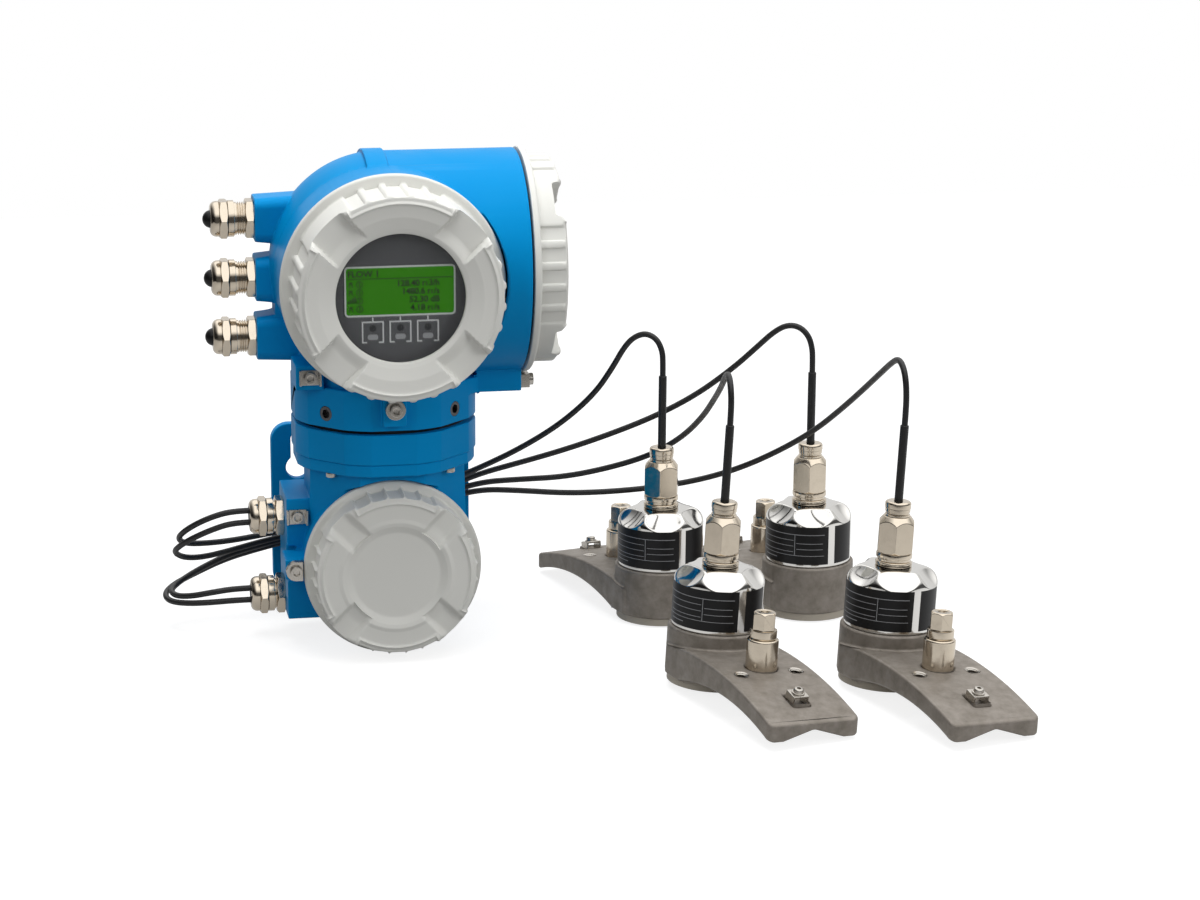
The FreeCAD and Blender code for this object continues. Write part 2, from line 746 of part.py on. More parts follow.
def swivel():
    ring = prism("ring_facets", 8, "neck_across", "ring_height", (*AXIS, RING_Z))
    bore = cylinder("ring_bore", "spigot_r + swivel_clearance", "ring_height", (*AXIS, RING_Z))
    node(cut("swivel_ring", ring, bore))
    inner = "spigot_r + swivel_gap"
    top = "swivel_gap - carrier_gap"
    seal = turned("swivel_seal", [(inner, "0"), ("throat_r", "0"), ("throat_r", top), (inner, top)])
    node(put(seal, (*AXIS, f"{RING_Z} + ring_height")))
    screws = []
    for angle in (45, 135, 225, 315):
        at = (f"ring_screw_r * cos({angle})", f"-stand_off + ring_screw_r * sin({angle})", FLANGE_Z)
        screws.append(cylinder(f"ring_screw_{angle}", "ring_screw_head_r", "screw_head_height", at, "-Z"))
    node(group("ring_screws", *screws))


# Connection housing: a faceted column, a front barrel for the lid and a side block for the glands
POSTS = {"low": ("post_low_z", "base_back"), "top": ("post_top_z", "column_across / 2")}
TAB_Y = "-stand_off - base_reach - 2"
TAB_EDGE = "-low_flange_r - clamp_gap"
TAB_X = f"{TAB_EDGE} - clamp_r + 2"


def connection_housing():
    block_front = "-stand_off - side_block_front"
    side = block("side_block_raw", ("-side_block_reach", block_front, "side_block_low"),
                 ("-low_bore_r / 2", "-stand_off + side_block_back", "side_block_top"))
    notch = block("side_notch", ("-side_block_reach - 1", f"{block_front} - 1", "side_notch_low"),
                  ("-side_block_reach + side_notch_depth", f"{block_front} + side_block_front / 2",
                   "side_notch_top"))
    outside = fuse(
        "base_outside",
        prism("base_column", 8, "column_across", f"{FLANGE_Z} - column_foot", (*AXIS, "column_foot")),
        prism("base_flange", 8, "neck_across - 2", "flange_height", (*AXIS, FLANGE_Z)),
        cylinder("base_barrel", "base_barrel_r", "base_reach + base_back",
                 ("0", "-stand_off + base_back", "base_z"), "-Y"),
        cut("side_block", side, notch),
        block("tab_lug", (f"{TAB_X} - clamp_r", TAB_Y, "base_z - clamp_r"),
              (TAB_EDGE, f"{block_front} + 1", "base_z + clamp_r")),
        block("tab_root", (TAB_EDGE, "-stand_off - base_reach", "base_z - clamp_r"),
              ("-base_barrel_r + 4", f"{block_front} + 1", "base_z + clamp_r")),
    )
    hollow = fuse(
        "base_hollow",
        cylinder("base_relief", "low_flange_r + lid_relief", "low_lid_depth",
                 ("0", "-stand_off - base_reach", "base_z"), "-Y"),
        cylinder("base_bore", "low_bore_r", "base_bore_depth", ("0", "-stand_off - base_reach", "base_z"), "+Y"),
        cylinder("base_passage", "passage_r", f"{RING_Z} - base_z", (*AXIS, "base_z")),
    )
    tools = [hollow]
    for name, (height, back) in POSTS.items():
        for side_sign in (-1, 1):
            at = (f"{side_sign} * post_spacing / 2", f"-stand_off + {back}", height)
            tools.append(cylinder(f"tapped_hole_{name}_{side_sign + 2}", "bolt_shank_r + bolt_clearance",
                                  "bolt_bite + 1", at, "-Y"))
    node(cut("connection_housing", outside, *tools))
    floor_y = "-stand_off - base_reach + base_bore_depth"
    node(block("sensor_terminal_block",
               ("-block_width / 2", f"{floor_y} - block_depth", "base_z - block_height / 2"),
               ("block_width / 2", floor_y, "base_z + block_height / 2")))


# Wall bracket: a plate with keyholes, held off the housing by four posts
def wall_bracket():
    raw = block("plate_raw", ("-plate_width / 2", "-plate_thick", "plate_low"), ("plate_width / 2", "0", "plate_top"))
    pieces = [eased("plate", raw, "plate_round", "y")]
    holes, screws = [], []
    for side in (-1, 1):
        x = f"{side} * post_spacing / 2"
        for name, (height, back) in POSTS.items():
            label = f"{name}_{side + 2}"
            at = (x, "0", height)
            length = f"stand_off - {back}"
            pieces.append(cylinder("post_" + label, "post_r", length, at, "-Y"))
            holes.append(fuse(
                "bolt_hole_" + label,
                cylinder("bolt_seat_" + label, "bolt_head_r + bolt_clearance", "bolt_head_height", at, "-Y"),
                cylinder("bolt_bore_" + label, "bolt_shank_r + bolt_clearance", length, at, "-Y")))
            screws.append(fuse(
                "bracket_screw_" + label,
                cylinder("bolt_head_" + label, "bolt_head_r", "bolt_head_height", at, "-Y"),
                cylinder("bolt_shank_" + label, "bolt_shank_r", f"{length} + bolt_bite", at, "-Y")))
        x = f"{side} * wall_bolt_spacing / 2"
        end_z = "keyhole_z + keyhole_rise"
        holes.append(cylinder(f"wall_hole_{side + 2}", "wall_bolt_r", "plate_thick", (x, "0", "0"), "-Y"))
        holes.append(fuse(
            f"keyhole_{side + 2}",
            cylinder(f"keyhole_round_{side + 2}", "keyhole_r", "plate_thick", (x, "0", "keyhole_z"), "-Y"),
            cylinder(f"keyhole_end_{side + 2}", "wall_bolt_r", "plate_thick", (x, "0", end_z), "-Y"),
            block(f"keyhole_slot_{side + 2}", (f"{x} - wall_bolt_r", "-plate_thick", "keyhole_z"),
                  (f"{x} + wall_bolt_r", "0", end_z))))
    node(cut("wall_bracket", fuse("bracket_outside", *pieces), *holes))
    node(group("bracket_screws", *screws))


# Lid clamps, earth terminals and their screws
def socket_screw(label, at, along):
    """Head of a small screw with a hexagon socket."""
    head = cylinder(label + "_head", "screw_head_r", "screw_head_height")
    socket = prism(label + "_socket", 6, "socket_r * 1.5", "screw_head_height", ("0", "0", "screw_head_height / 2"))
    return put(cut(label, head, socket), at, ALONG[along])


def earth_clip(label):
    """A bent strip along its own X axis, both ends turned up along its own Y axis."""
    return padded(label, [
        ("0", "0"), ("clip_reach", "0"), ("clip_reach", "clip_rise"), ("clip_reach - clip_thick", "clip_rise"),
        ("clip_reach - clip_thick", "clip_thick"), ("clip_thick", "clip_thick"),
        ("clip_thick", "clip_rise * 0.6"), ("0", "clip_rise * 0.6")], "clip_width")


def front_clip(label, x, y, z):
    """An earth terminal on a face that looks forward: the clip, and its screw."""
    at = (f"{x} - clip_reach / 2", y, f"{z} + clip_width / 2")
    clip = put(earth_clip(label), at, ALONG["-Z"])
    return clip, socket_screw(label + "_screw", (x, f"{y} - clip_thick", z), "-Y")


def head_hardware():
    clamp_y = "-stand_off - lug_reach"
    clamp_z = f"{FLANGE_LOW} - clamp_r"
    node(cylinder("front_lid_clamp", "clamp_r", "clamp_thick", ("0", clamp_y, clamp_z), "-Y"))
    node(block("terminal_lid_clamp", ("side_reach", f"{SIDE_LUG_Y} - clamp_r",
                                      f"{SIDE_FLANGE_LOW} - side_clamp_height"),
               ("side_reach + clamp_thick + 2", f"{SIDE_LUG_Y} + clamp_r", SIDE_FLANGE_LOW)))
    clip, clip_screw = front_clip("head_earth_clip", "-earth_lug_x", EARTH_LUG_Y,
                                  f"{NECK_TOP} + earth_lug_height / 2")
    node(clip)
    front_screw = socket_screw("front_clamp_screw", ("0", f"{clamp_y} - clamp_thick", clamp_z), "-Y")
    side_screw = socket_screw("side_clamp_screw",
                              ("side_reach + clamp_thick + 2", SIDE_LUG_Y, f"{SIDE_FLANGE_LOW} - side_clamp_height / 2"), "+X")
    node(group("head_screws", clip_screw, front_screw, side_screw))


def base_hardware():
    low = (f"{TAB_X} - clamp_r", f"{TAB_Y} - clamp_thick", "base_z - clamp_r")
    high = (TAB_EDGE, TAB_Y, "base_z + clamp_r")
    disc = cylinder("tab_disc", "clamp_r", "clamp_thick", (TAB_X, TAB_Y, "base_z"), "-Y")
    bar = block("tab_bar", (TAB_X, *low[1:]), high)
    node(common("connection_lid_clamp", fuse("tab_solid", disc, bar), block("tab_limit", low, high)))
    clip, clip_screw = front_clip("base_earth_clip", "-side_block_reach + clip_reach / 2",
                                  "-stand_off - side_block_front", "base_earth_z")
    node(clip)
    tab_screw = socket_screw("tab_screw", (TAB_X, f"{TAB_Y} - clamp_thick", "base_z"), "-Y")
    node(group("base_screws", clip_screw, tab_screw))


# Transducers: a cast holder with an arched arm, a sensing element, a polished cap and a connector.
# Each is built upright about its own Z axis, its arm along X, and then stood in its place.
CAP_LOW = "cup_top + cap_gap"
CAP_TOP = f"{CAP_LOW} + cap_height"
COLLAR = f"{CAP_TOP} + cap_gap"
GROOVE = f"{COLLAR} + collar_height"
HEX = f"{GROOVE} + collar_groove + collar_height"
NECK = f"{HEX} + connector_hex_height"
NUT = f"{NECK} + connector_neck"
SLEEVE_END = f"{NUT} + sleeve_length"
REAR = (1, 2)


def stood(label, piece, index):
    """Stand a piece: rear transducers point their arms back, front ones forward, leaning a little."""
    rear = index in REAR
    lean = "rear_lean" if rear else "front_lean"
    turn = Rotation(Vector(0, 0, 1), number("arm_turn") + (90 if rear else -90))
    roll = Rotation(Vector(1, 0, 0), number(lean) * (1 if rear else -1))
    at = (f"sensor_{index}_x", f"sensor_{index}_y", f"ground_z + arm_width / 2 * sin({lean})")
    return put(group(label, piece), at, turn.multiply(roll))


def holder(label):
    """Cast cup with an arched arm, deep at its root, that ends in a notched foot."""
    half = "arm_width / 2"
    crest_at = ("arm_crest_x", f"-{half}", "arm_crest_z - arm_arc_r")
    vault_at = ("vault_x", f"-{half}", "vault_z - vault_r")
    arch = cut(label + "_arch", cylinder(label + "_crest", "arm_arc_r", "arm_width", crest_at, "+Y"),
               cylinder(label + "_vault", "vault_r", "arm_width", vault_at, "+Y"))
    plan = eased(label + "_plan", block(label + "_span", ("-arm_back", f"-{half}", "0"),
                                        ("arm_reach", half, "arm_crest_z + 1")), "arm_round", "z")
    pad_room = block(label + "_pad_room", ("-arm_back", f"-{half}", "0"), ("cup_r", half, "cup_low"))
    arm = cut(label + "_arm", common(label + "_blank", arch, plan), pad_room)
    cup = cylinder(label + "_cup", "cup_r", "cup_top - cup_low", ("0", "0", "cup_low"))
    outside = fuse(label + "_outside", arm, cup)
    notch = padded(label + "_notch", [("0", "0"), ("notch_half * 2", "0"), ("notch_half", "notch_height")],
                   "notch_length + 1")
    put(notch, ("arm_reach - notch_length", "-notch_half", "0"), Rotation(Vector(1, 1, 1), 120))
    tools = [
        cylinder(label + "_bore", "cup_bore_r", "cup_top"),
        notch,
        cylinder(label + "_stud_seat", "stud_r + bolt_clearance", "stud_height", ("stud_x", "0", "stud_seat_z")),
        block(label + "_clip_seat", ("earth_x - clip_reach / 2 - 1", "-clip_width / 2 - 1", "earth_seat_z"),
              ("earth_x + clip_reach / 2 + 1", "clip_width / 2 + 1", "arm_crest_z + 1")),
    ]
    for side in (-1, 1):
        tools.append(cylinder(f"{label}_hole_{side + 2}", "arm_hole_r", "arm_crest_z + 1",
                              ("arm_hole_x", f"{side} * arm_hole_y", "0")))
    return cut(label, outside, *tools)


def sensor_element(label):
    """Sensing element with its coupling face at the bottom."""
    return turned(label, [("0", "0"), ("pad_r", "0"), ("pad_r", "cup_low"), ("element_r", "cup_low"),
                          ("element_r", "element_top"), ("0", "element_top")])


def cap(label):
    """Polished cap with a rounded shoulder and six finger dimples."""
    hole = "stem_r + stem_clearance"
    wall = "cap_r - cap_wall"
    roof = f"{CAP_TOP} - cap_roof"
    blank = turned(label + "_blank", [(wall, CAP_LOW), ("cap_r", CAP_LOW), ("cap_r", CAP_TOP), (hole, CAP_TOP),
                                      (hole, roof), (wall, roof)])
    round_rim(blank, "cap_shoulder", "cap_r", CAP_TOP)
    dimples = []
    for angle in range(0, 360, 60):
        at = (f"dimple_out * cos({angle})", f"dimple_out * sin({angle})", f"{CAP_TOP} + dimple_up")
        dimples.append(solid("Sphere", f"{label}_dimple_{angle}", {"Radius": "dimple_r"}, at))
    return cut(label, blank, *dimples)


def connector_body(label):
    """Stem, grooved collar, tall hexagon and neck of a connector."""
    groove_top = f"{GROOVE} + collar_groove"
    stem = turned(label + "_stem", [
        ("0", "element_top"), ("stem_r", "element_top"), ("stem_r", COLLAR), ("collar_r", COLLAR),
        ("collar_r", GROOVE), ("collar_groove_r", GROOVE), ("collar_groove_r", groove_top),
        ("collar_r", groove_top), ("collar_r", HEX), ("0", HEX)])
    flats = prism(label + "_flats", 6, "connector_hex", "connector_hex_height", ("0", "0", HEX))
    corner = "connector_hex / 2 / cos(30)"
    crown = turned(label + "_crown", [("0", HEX), (corner, HEX), (corner, f"{NECK} - connector_chamfer"),
                                      ("connector_neck_r + 1", NECK), ("0", NECK)])
    neck = cylinder(label + "_neck", "connector_neck_r", "connector_neck", ("0", "0", NECK))
    return fuse(label, stem, common(label + "_hexagon", flats, crown), neck)


def connector_nut(label):
    inner = "sleeve_r + stem_clearance"
    top = f"{NUT} + connector_nut_height"
    return turned(label, [(inner, NUT), ("connector_nut_r", NUT), ("connector_nut_r", top), (inner, top)])


def stud_sleeve(label):
    return cylinder(label, "stud_r", "stud_height", ("stud_x", "0", "stud_seat_z"))


def stud_pin(label):
    """Neck and drilled hexagon on top of a stud."""
    low = "stud_seat_z + stud_height"
    head_low = f"{low} + pin_neck"
    neck = cylinder(label + "_neck", "pin_r", "pin_neck", ("stud_x", "0", low))
    head = prism(label + "_head", 6, "pin_hex", "pin_height", ("stud_x", "0", head_low))
    hole = cylinder(label + "_hole", "pin_hole_r", "pin_height", ("stud_x", "0", f"{head_low} + pin_height / 2"))
    return cut(label, fuse(label + "_solid", neck, head), hole)


def sensor_clip(label):
    at = ("earth_x - clip_reach / 2", "clip_width / 2", "earth_seat_z")
    return put(earth_clip(label), at, ALONG["-Y"])


def sensor_screw(label):
    return socket_screw(label, ("earth_x", "0", "earth_seat_z + clip_thick"), "+Z")


def cable_sleeve(label):
    return cylinder(label, "sleeve_r", "sleeve_length", ("0", "0", NUT))


def transducers():
    own = {"holder": holder, "sensor_element": sensor_element, "cap": cap, "connector_body": connector_body}
    shared = {
        "connector_nuts": connector_nut, "strap_stud_sleeves": stud_sleeve, "strap_stud_pins": stud_pin,
        "sensor_earth_clips": sensor_clip, "sensor_earth_screws": sensor_screw, "cable_sleeves": cable_sleeve,
    }
    for label, make in own.items():
        for index in ROUTES:
            node(stood(f"{label}_{index}", make(f"{label}_form_{index}"), index))
    for label, make in shared.items():
        pieces = []
        for index in ROUTES:
            pieces.append(stood(f"{label}_{index}", make(f"{label}_form_{index}"), index))
        node(group(label, *pieces))


# Cables: straight runs joined by tangent arcs
def unit(vector):
    return vector / vector.Length


def cable(label, points):
    """A round tube along a chain of points, every corner rounded by an arc."""
    edges, radii = [], []
    start = points[0]
    for before, corner, after in zip(points, points[1:], points[2:]):
        back = unit(before - corner)
        ahead = unit(after - corner)
        reach = CORNER_SHARE * min((before - corner).Length, (after - corner).Length)
        half_turn = (math.pi - back.getAngle(ahead)) / 2
        radius = reach / math.tan(half_turn)
        middle = corner + unit(back + ahead) * (radius / math.cos(half_turn) - radius)
        arc_start = corner + back * reach
        arc_end = corner + ahead * reach
        edges.append(Part.makeLine(start, arc_start))
        edges.append(Part.Arc(arc_start, middle, arc_end).toShape())
        radii.append(radius)
        start = arc_end
    edges.append(Part.makeLine(start, points[-1]))
    path = Part.Wire(edges)
    section = number("cable_r")
    ring = Part.Wire(Part.makeCircle(section, points[0], points[1] - points[0]))
    piece = doc.addObject("Part::Feature", label)
    piece.Shape = path.makePipeShell([ring], True, False)
    share = piece.Shape.Volume / (math.pi * section ** 2 * path.Length)
    print(f"{label}: length {path.Length:.1f} mm, radii {min(radii):.1f} mm and up, volume share {share:.4f}")
    if abs(share - 1) > 0.01:
        raise ValueError(f"{label} is not a whole tube")
    node(piece)


def cables():
    doc.recompute()
    for index, points in ROUTES.items():
        foot = doc.getObject(f"cable_sleeves_{index}").Placement
        lead = [foot.multVec(Vector(0, 0, number(SLEEVE_END + step))) for step in (" + sleeve_lead", "")]
        for point in lead:
            print(f"cable_{index} lead at ({point.x:.2f}, {point.y:.2f}, {point.z:.2f})")
        cable(f"cable_{index}", [Vector(*point) for point in points] + lead)


head_housing()
neck_set_screws()
lids()
head_inside()
head_glands()
head_hardware()
swivel()
connection_housing()
wall_bracket()
sensor_glands()
base_hardware()
transducers()
cables()
doc.recompute()

for piece in doc.Objects:
    if "Invalid" in piece.State or "Error" in piece.State:
        raise RuntimeError(f"{piece.Label} did not compute: {piece.State}")
os.makedirs("parts", exist_ok=True)
for piece in nodes:
    if piece.Shape.isNull() or not piece.Shape.isValid():
        raise RuntimeError(f"{piece.Label} has no sound shape")
    piece.Shape.exportStep(f"parts/{piece.Label}.step")
print(f"{len(nodes)} nodes written")
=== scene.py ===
import math

import bpy
from bpy.props import FloatProperty, FloatVectorProperty, IntProperty, PointerProperty
from mathutils import Matrix, Vector


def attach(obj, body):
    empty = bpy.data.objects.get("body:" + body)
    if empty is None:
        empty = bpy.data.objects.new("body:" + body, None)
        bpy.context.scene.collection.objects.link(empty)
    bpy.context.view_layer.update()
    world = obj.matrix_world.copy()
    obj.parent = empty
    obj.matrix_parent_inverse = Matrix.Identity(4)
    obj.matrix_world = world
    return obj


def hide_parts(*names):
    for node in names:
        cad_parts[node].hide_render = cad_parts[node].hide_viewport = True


bl_info = {
    "name": "Clamp-on flow meter",
    "version": (1, 0, 0),
    "blender": (4, 5, 0),
    "location": "View3D > Sidebar > Flow meter",
    "description": "Dresses the frame of a clamp-on ultrasonic flow meter with four transducers",
    "category": "Object",
}

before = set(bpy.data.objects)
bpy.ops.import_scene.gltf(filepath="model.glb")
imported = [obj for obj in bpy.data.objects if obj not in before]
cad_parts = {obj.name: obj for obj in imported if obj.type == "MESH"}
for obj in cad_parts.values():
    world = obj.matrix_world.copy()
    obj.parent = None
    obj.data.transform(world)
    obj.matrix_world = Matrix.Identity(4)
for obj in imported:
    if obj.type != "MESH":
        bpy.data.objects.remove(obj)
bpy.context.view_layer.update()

MM = 0.001
FULL_TURN = 2 * math.pi
SENSORS = (1, 2, 3, 4)


def linear(code):
    """Linear red, green and blue of an sRGB hex colour."""
    parts = [int(code[i:i + 2], 16) / 255 for i in (1, 3, 5)]
    return [p / 12.92 if p <= 0.04045 else ((p + 0.055) / 1.055) ** 2.4 for p in parts]


class FlowMeterSizes(bpy.types.PropertyGroup):
    """Sizes and colours that a user would change."""

    housing_colour: FloatVectorProperty(
        name="Housing colour", description="Powder coat of the castings", subtype="COLOR",
        default=linear("#008ACB"))
    lid_colour: FloatVectorProperty(
        name="Lid colour", description="Powder coat of the screwed lids", subtype="COLOR",
        default=linear("#DDDDD8"))
    screen_colour: FloatVectorProperty(
        name="Screen colour", description="Backlit face of the screen", subtype="COLOR",
        default=linear("#2F7010"))
    casting_edge: FloatProperty(
        name="Casting edge", description="Rounding on the edges of the castings",
        default=0.0009, unit="LENGTH")
    holder_edge: FloatProperty(
        name="Holder edge", description="Rounding on the edges of the holders",
        default=0.0018, unit="LENGTH")
    metal_edge: FloatProperty(
        name="Metal edge", description="Broken edge of the small metal pieces",
        default=0.0004, unit="LENGTH")
    thread_pitch: FloatProperty(
        name="Gland thread", description="Pitch of the gland threads", default=0.0015, unit="LENGTH")
    turn_steps: IntProperty(
        name="Turning steps", description="Steps round a turned piece", default=96, min=24)
    lid_steps: IntProperty(
        name="Lid steps", description="Steps round a lid, fine enough for its grips", default=420, min=180)


# Modelling helpers: angles past which an edge is sharp and below which a face is flat,
# and distances in metres within which points of the CAD and of a turned piece are one
SHARP, FLAT = math.radians(32), math.radians(0.4)
CAD_WELD, TURN_WELD = 0.00001, 0.000002
# Arcs on a chain: openest corner in radians, longest share of a run, steps to a mm of rounding
OPENEST, LONGEST_SHARE, ARC_STEPS = 3.1, 0.49, 3
CONE_STEPS = 96


def only(piece):
    """Select one object and nothing else."""
    bpy.ops.object.select_all(action="DESELECT")
    piece.select_set(True)
    bpy.context.view_layer.objects.active = piece


def mode(name):
    """Switch between object and edit mode."""
    bpy.ops.object.mode_set(mode=name)


def select(action):
    """Select all or nothing in edit mode."""
    bpy.ops.mesh.select_all(action=action)


def applied(piece, kind, **settings):
    """Give a piece a modifier, set it and apply it."""
    only(piece)
    step = piece.modifiers.new("Step", kind)
    for key, value in settings.items():
        setattr(step, key, value)
    bpy.ops.object.modifier_apply(modifier="Step")
    return piece


def joined(pieces):
    """Join several objects to the first."""
    only(pieces[0])
    for piece in pieces[1:]:
        piece.select_set(True)
    if len(pieces) > 1:
        bpy.ops.object.join()
    return pieces[0]


def placed(x, y, z, facing=Matrix()):
    """A place in mm with the local Z axis facing a side."""
    return Matrix.Translation(Vector((x, y, z)) * MM) @ facing


def stand(piece, place):
    """Put a piece in its place and apply that to its mesh."""
    only(piece)
    piece.matrix_world = place
    bpy.ops.object.transform_apply()
    return piece


def copies(model, places):
    """Copies of a model at its places; the model itself goes."""
    made = []
    for place in places:
        twin = model.copy()
        twin.data = model.data.copy()
        bpy.context.scene.collection.objects.link(twin)
        made.append(stand(twin, place))
    bpy.data.objects.remove(model)
    return made


def smooth(piece, crease=32):
    """Shade a piece smooth up to a crease angle in degrees."""
    only(piece)
    bpy.ops.object.shade_smooth_by_angle(angle=math.radians(crease))
    return applied(piece, "WEIGHTED_NORMAL", keep_sharp=True)


def rounded_edges(piece, width, segments=3):
    """Round all the sharp edges of a piece."""
    return applied(piece, "BEVEL", width=width, segments=segments, limit_method="ANGLE", angle_limit=SHARP,
                   use_clamp_overlap=False, miter_outer="MITER_ARC")


def rounded_some(piece, width, chosen, sharp, **settings):
    """Round the edges whose two end points pass a test, of the sharp ones or of all."""
    only(piece)
    mode("EDIT")
    bpy.ops.mesh.select_mode(type="EDGE")
    select("DESELECT")
    if sharp:
        bpy.ops.mesh.edges_select_sharp(sharpness=SHARP)
    mode("OBJECT")
    points = piece.data.vertices
    for edge in piece.data.edges:
        if edge.select or not sharp:
            edge.select = chosen(*(points[index].co for index in edge.vertices))
    mode("EDIT")
    bpy.ops.mesh.bevel(offset=width, affect="EDGES", **settings)
    bpy.ops.mesh.select_mode(type="VERT")
    mode("OBJECT")
    return piece


def finish(piece, name, coat, body, slot, *nodes):
    """Name a piece, paint it, and tie it to its body in place of CAD nodes."""
    piece.name = name
    piece.data.materials.clear()
    piece.data.materials.append(COATS[coat])
    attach(piece, body)
    if nodes:
        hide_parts(*nodes)


def merged(node):
    """A merged copy of a CAD node, its flat faces made whole."""
    piece = bpy.data.objects.new("copy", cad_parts[node].data.copy())
    bpy.context.scene.collection.objects.link(piece)
    only(piece)
    bpy.ops.mesh.customdata_custom_splitnormals_clear()
    mode("EDIT")
    select("SELECT")
    bpy.ops.mesh.remove_doubles(threshold=CAD_WELD)
    bpy.ops.mesh.dissolve_limited(angle_limit=FLAT)
    bpy.ops.mesh.normals_make_consistent()
    mode("OBJECT")
    return piece


def dressed(node, edge, segments, *ties):
    """Round the edges of a CAD node's copy and finish it in the node's place."""
    finish(smooth(rounded_edges(merged(node), edge, segments)), *ties, node)


def rounded(corners, steps=6):
    """A chain of (radius, height, rounding) corners in mm, each turned to an arc of up to so many steps."""
    chain = []
    for index, (radius, height, turn) in enumerate(corners):
        point = Vector((radius, height))
        before = Vector(corners[index - 1][:2]) - point
        after = Vector(corners[(index + 1) % len(corners)][:2]) - point
        angle = before.angle(after)
        if not turn or angle > OPENEST:
            chain.append(point)
            continue
        longest = LONGEST_SHARE * min(before.length, after.length)
        reach = min(turn / math.tan(angle / 2), longest)
        before.normalize()
        after.normalize()
        centre = point + (before + after).normalized() * reach / math.cos(angle / 2)
        start = point + before * reach - centre
        sweep = start.angle_signed(point + after * reach - centre)
        count = max(2, min(steps, round(ARC_STEPS * turn)))
        for step in range(count + 1):
            arm = start.copy()
            arm.rotate(Matrix.Rotation(-sweep * step / count, 2))
            chain.append(centre + arm)
    return chain


def ring(corners, steps=6):
    """A closed chain through rounded corners."""
    chain = rounded(corners, steps)
    return chain + [chain[0]]


def spread(chain, gap, above, inner):
    """The same chain with no run longer than a gap in mm, above a height and outside a radius."""
    dense = []
    for start, end in zip(chain, chain[1:]):
        pressed = max(start.y, end.y) > above and max(start.x, end.x) > inner
        count = max(1, math.ceil((end - start).length / (gap if pressed else 5 * gap)))
        dense += [start.lerp(end, step / count) for step in range(count)]
    return dense + [chain[-1]]


def turned(chain, steps, start=0.0, sweep=FULL_TURN):
    """Spin a chain of (radius, height) points in mm round the Z axis."""
    bpy.ops.mesh.primitive_plane_add(size=MM)
    piece = bpy.context.active_object
    mode("EDIT")
    select("SELECT")
    bpy.ops.mesh.merge(type="CENTER")
    spoke = Vector((math.cos(start), math.sin(start), 0)) * MM
    rise = Vector((0, 0, MM))
    here = (0, 0)
    for index, there in enumerate(chain):
        step = spoke * (there[0] - here[0]) + rise * (there[1] - here[1])
        if index:
            bpy.ops.mesh.extrude_region_move(TRANSFORM_OT_translate={"value": step})
        else:
            bpy.ops.transform.translate(value=step)
        here = there
    select("SELECT")
    bpy.ops.mesh.spin(steps=steps, angle=-sweep, center=(0, 0, 0), axis=(0, 0, 1))
    select("SELECT")
    bpy.ops.mesh.remove_doubles(threshold=TURN_WELD)
    if sweep < FULL_TURN:
        bpy.ops.mesh.fill_holes(sides=0)
    select("SELECT")
    bpy.ops.mesh.normals_make_consistent()
    mode("OBJECT")
    return piece


def lathed(corners, steps, crease=32):
    """Turn a ring of rounded corners and shade it smooth."""
    return smooth(turned(ring(corners), steps), crease)


def block(wide, deep, high, place):
    """A block of a size in mm with its middle at a place."""
    bpy.ops.mesh.primitive_cube_add(size=MM)
    return stand(bpy.context.active_object, place @ Matrix.Diagonal((wide, deep, high, 1)))


def prism(sides, across, low, high):
    """A prism on the Z axis between two heights in mm."""
    radius = across / 2 / math.cos(math.pi / sides)
    bpy.ops.mesh.primitive_cylinder_add(vertices=sides, radius=radius * MM, depth=(high - low) * MM)
    return stand(bpy.context.active_object, placed(0, 0, (low + high) / 2))


def carved(piece, tool, operation="DIFFERENCE"):
    """Cut a piece with a tool, or keep what both share."""
    applied(piece, "BOOLEAN", object=tool, operation=operation, solver="EXACT")
    bpy.data.objects.remove(tool)
    return piece


def hexagon(across, low, high, low_end, high_end, edge=0.25):
    """A hexagon on the Z axis, its ends turned down: end radius and length of each cone in mm."""
    piece = prism(6, across, low - 1, high + 1)
    corner = across / 2 / math.cos(math.pi / 6) + 0.02
    chain = [(0, low), (low_end[0], low), (corner, low + low_end[1]), (corner, high - high_end[1]),
             (high_end[0], high), (0, high), (0, low)]
    carved(piece, turned(chain, CONE_STEPS), "INTERSECT")
    return smooth(rounded_edges(piece, edge * MM, 2))


def ease(value, low, high):
    """0 below low, 1 above high, and a smooth step between."""
    share = min(max((value - low) / (high - low), 0), 1)
    return share * share * (3 - 2 * share)


FACING_LEFT = Matrix.Rotation(math.radians(-90), 4, "Y")
FACING_RIGHT = Matrix.Rotation(math.radians(90), 4, "Y")
FACING_FRONT = Matrix.Rotation(math.radians(90), 4, "X")

# Where each transducer stands: foot of its axis in mm, turn of its arm and lean in degrees
STANDS = {
    1: ((189, -78, -26.835), 105, 0.3),
    2: ((291, -83, -26.835), 105, 0.3),
    3: ((192.5, -231, -25.077), -75, -3.5),
    4: ((301, -249, -25.077), -75, -3.5),
}


def sensor_place(foot, turn, lean):
    """Place of a transducer's own axes, its arm along X."""
    turned_arm = Matrix.Rotation(math.radians(turn), 4, "Z")
    return placed(*foot, turned_arm @ Matrix.Rotation(math.radians(lean), 4, "X"))


SENSOR_PLACES = [sensor_place(*STANDS[index]) for index in SENSORS]


# Materials: the middle band of a noise, from its darkest to its lightest patches
PATCHES = (0.3, 0.7)
COATS = {}


def add(tree, kind, inputs, **settings):
    """Add a node, set its options, and set or link its sockets."""
    made = tree.nodes.new(kind)
    for key, value in settings.items():
        setattr(made, key, value)
    for key, value in inputs.items():
        if isinstance(value, bpy.types.NodeSocket):
            tree.links.new(value, made.inputs[key])
        else:
            made.inputs[key].default_value = value
    return made


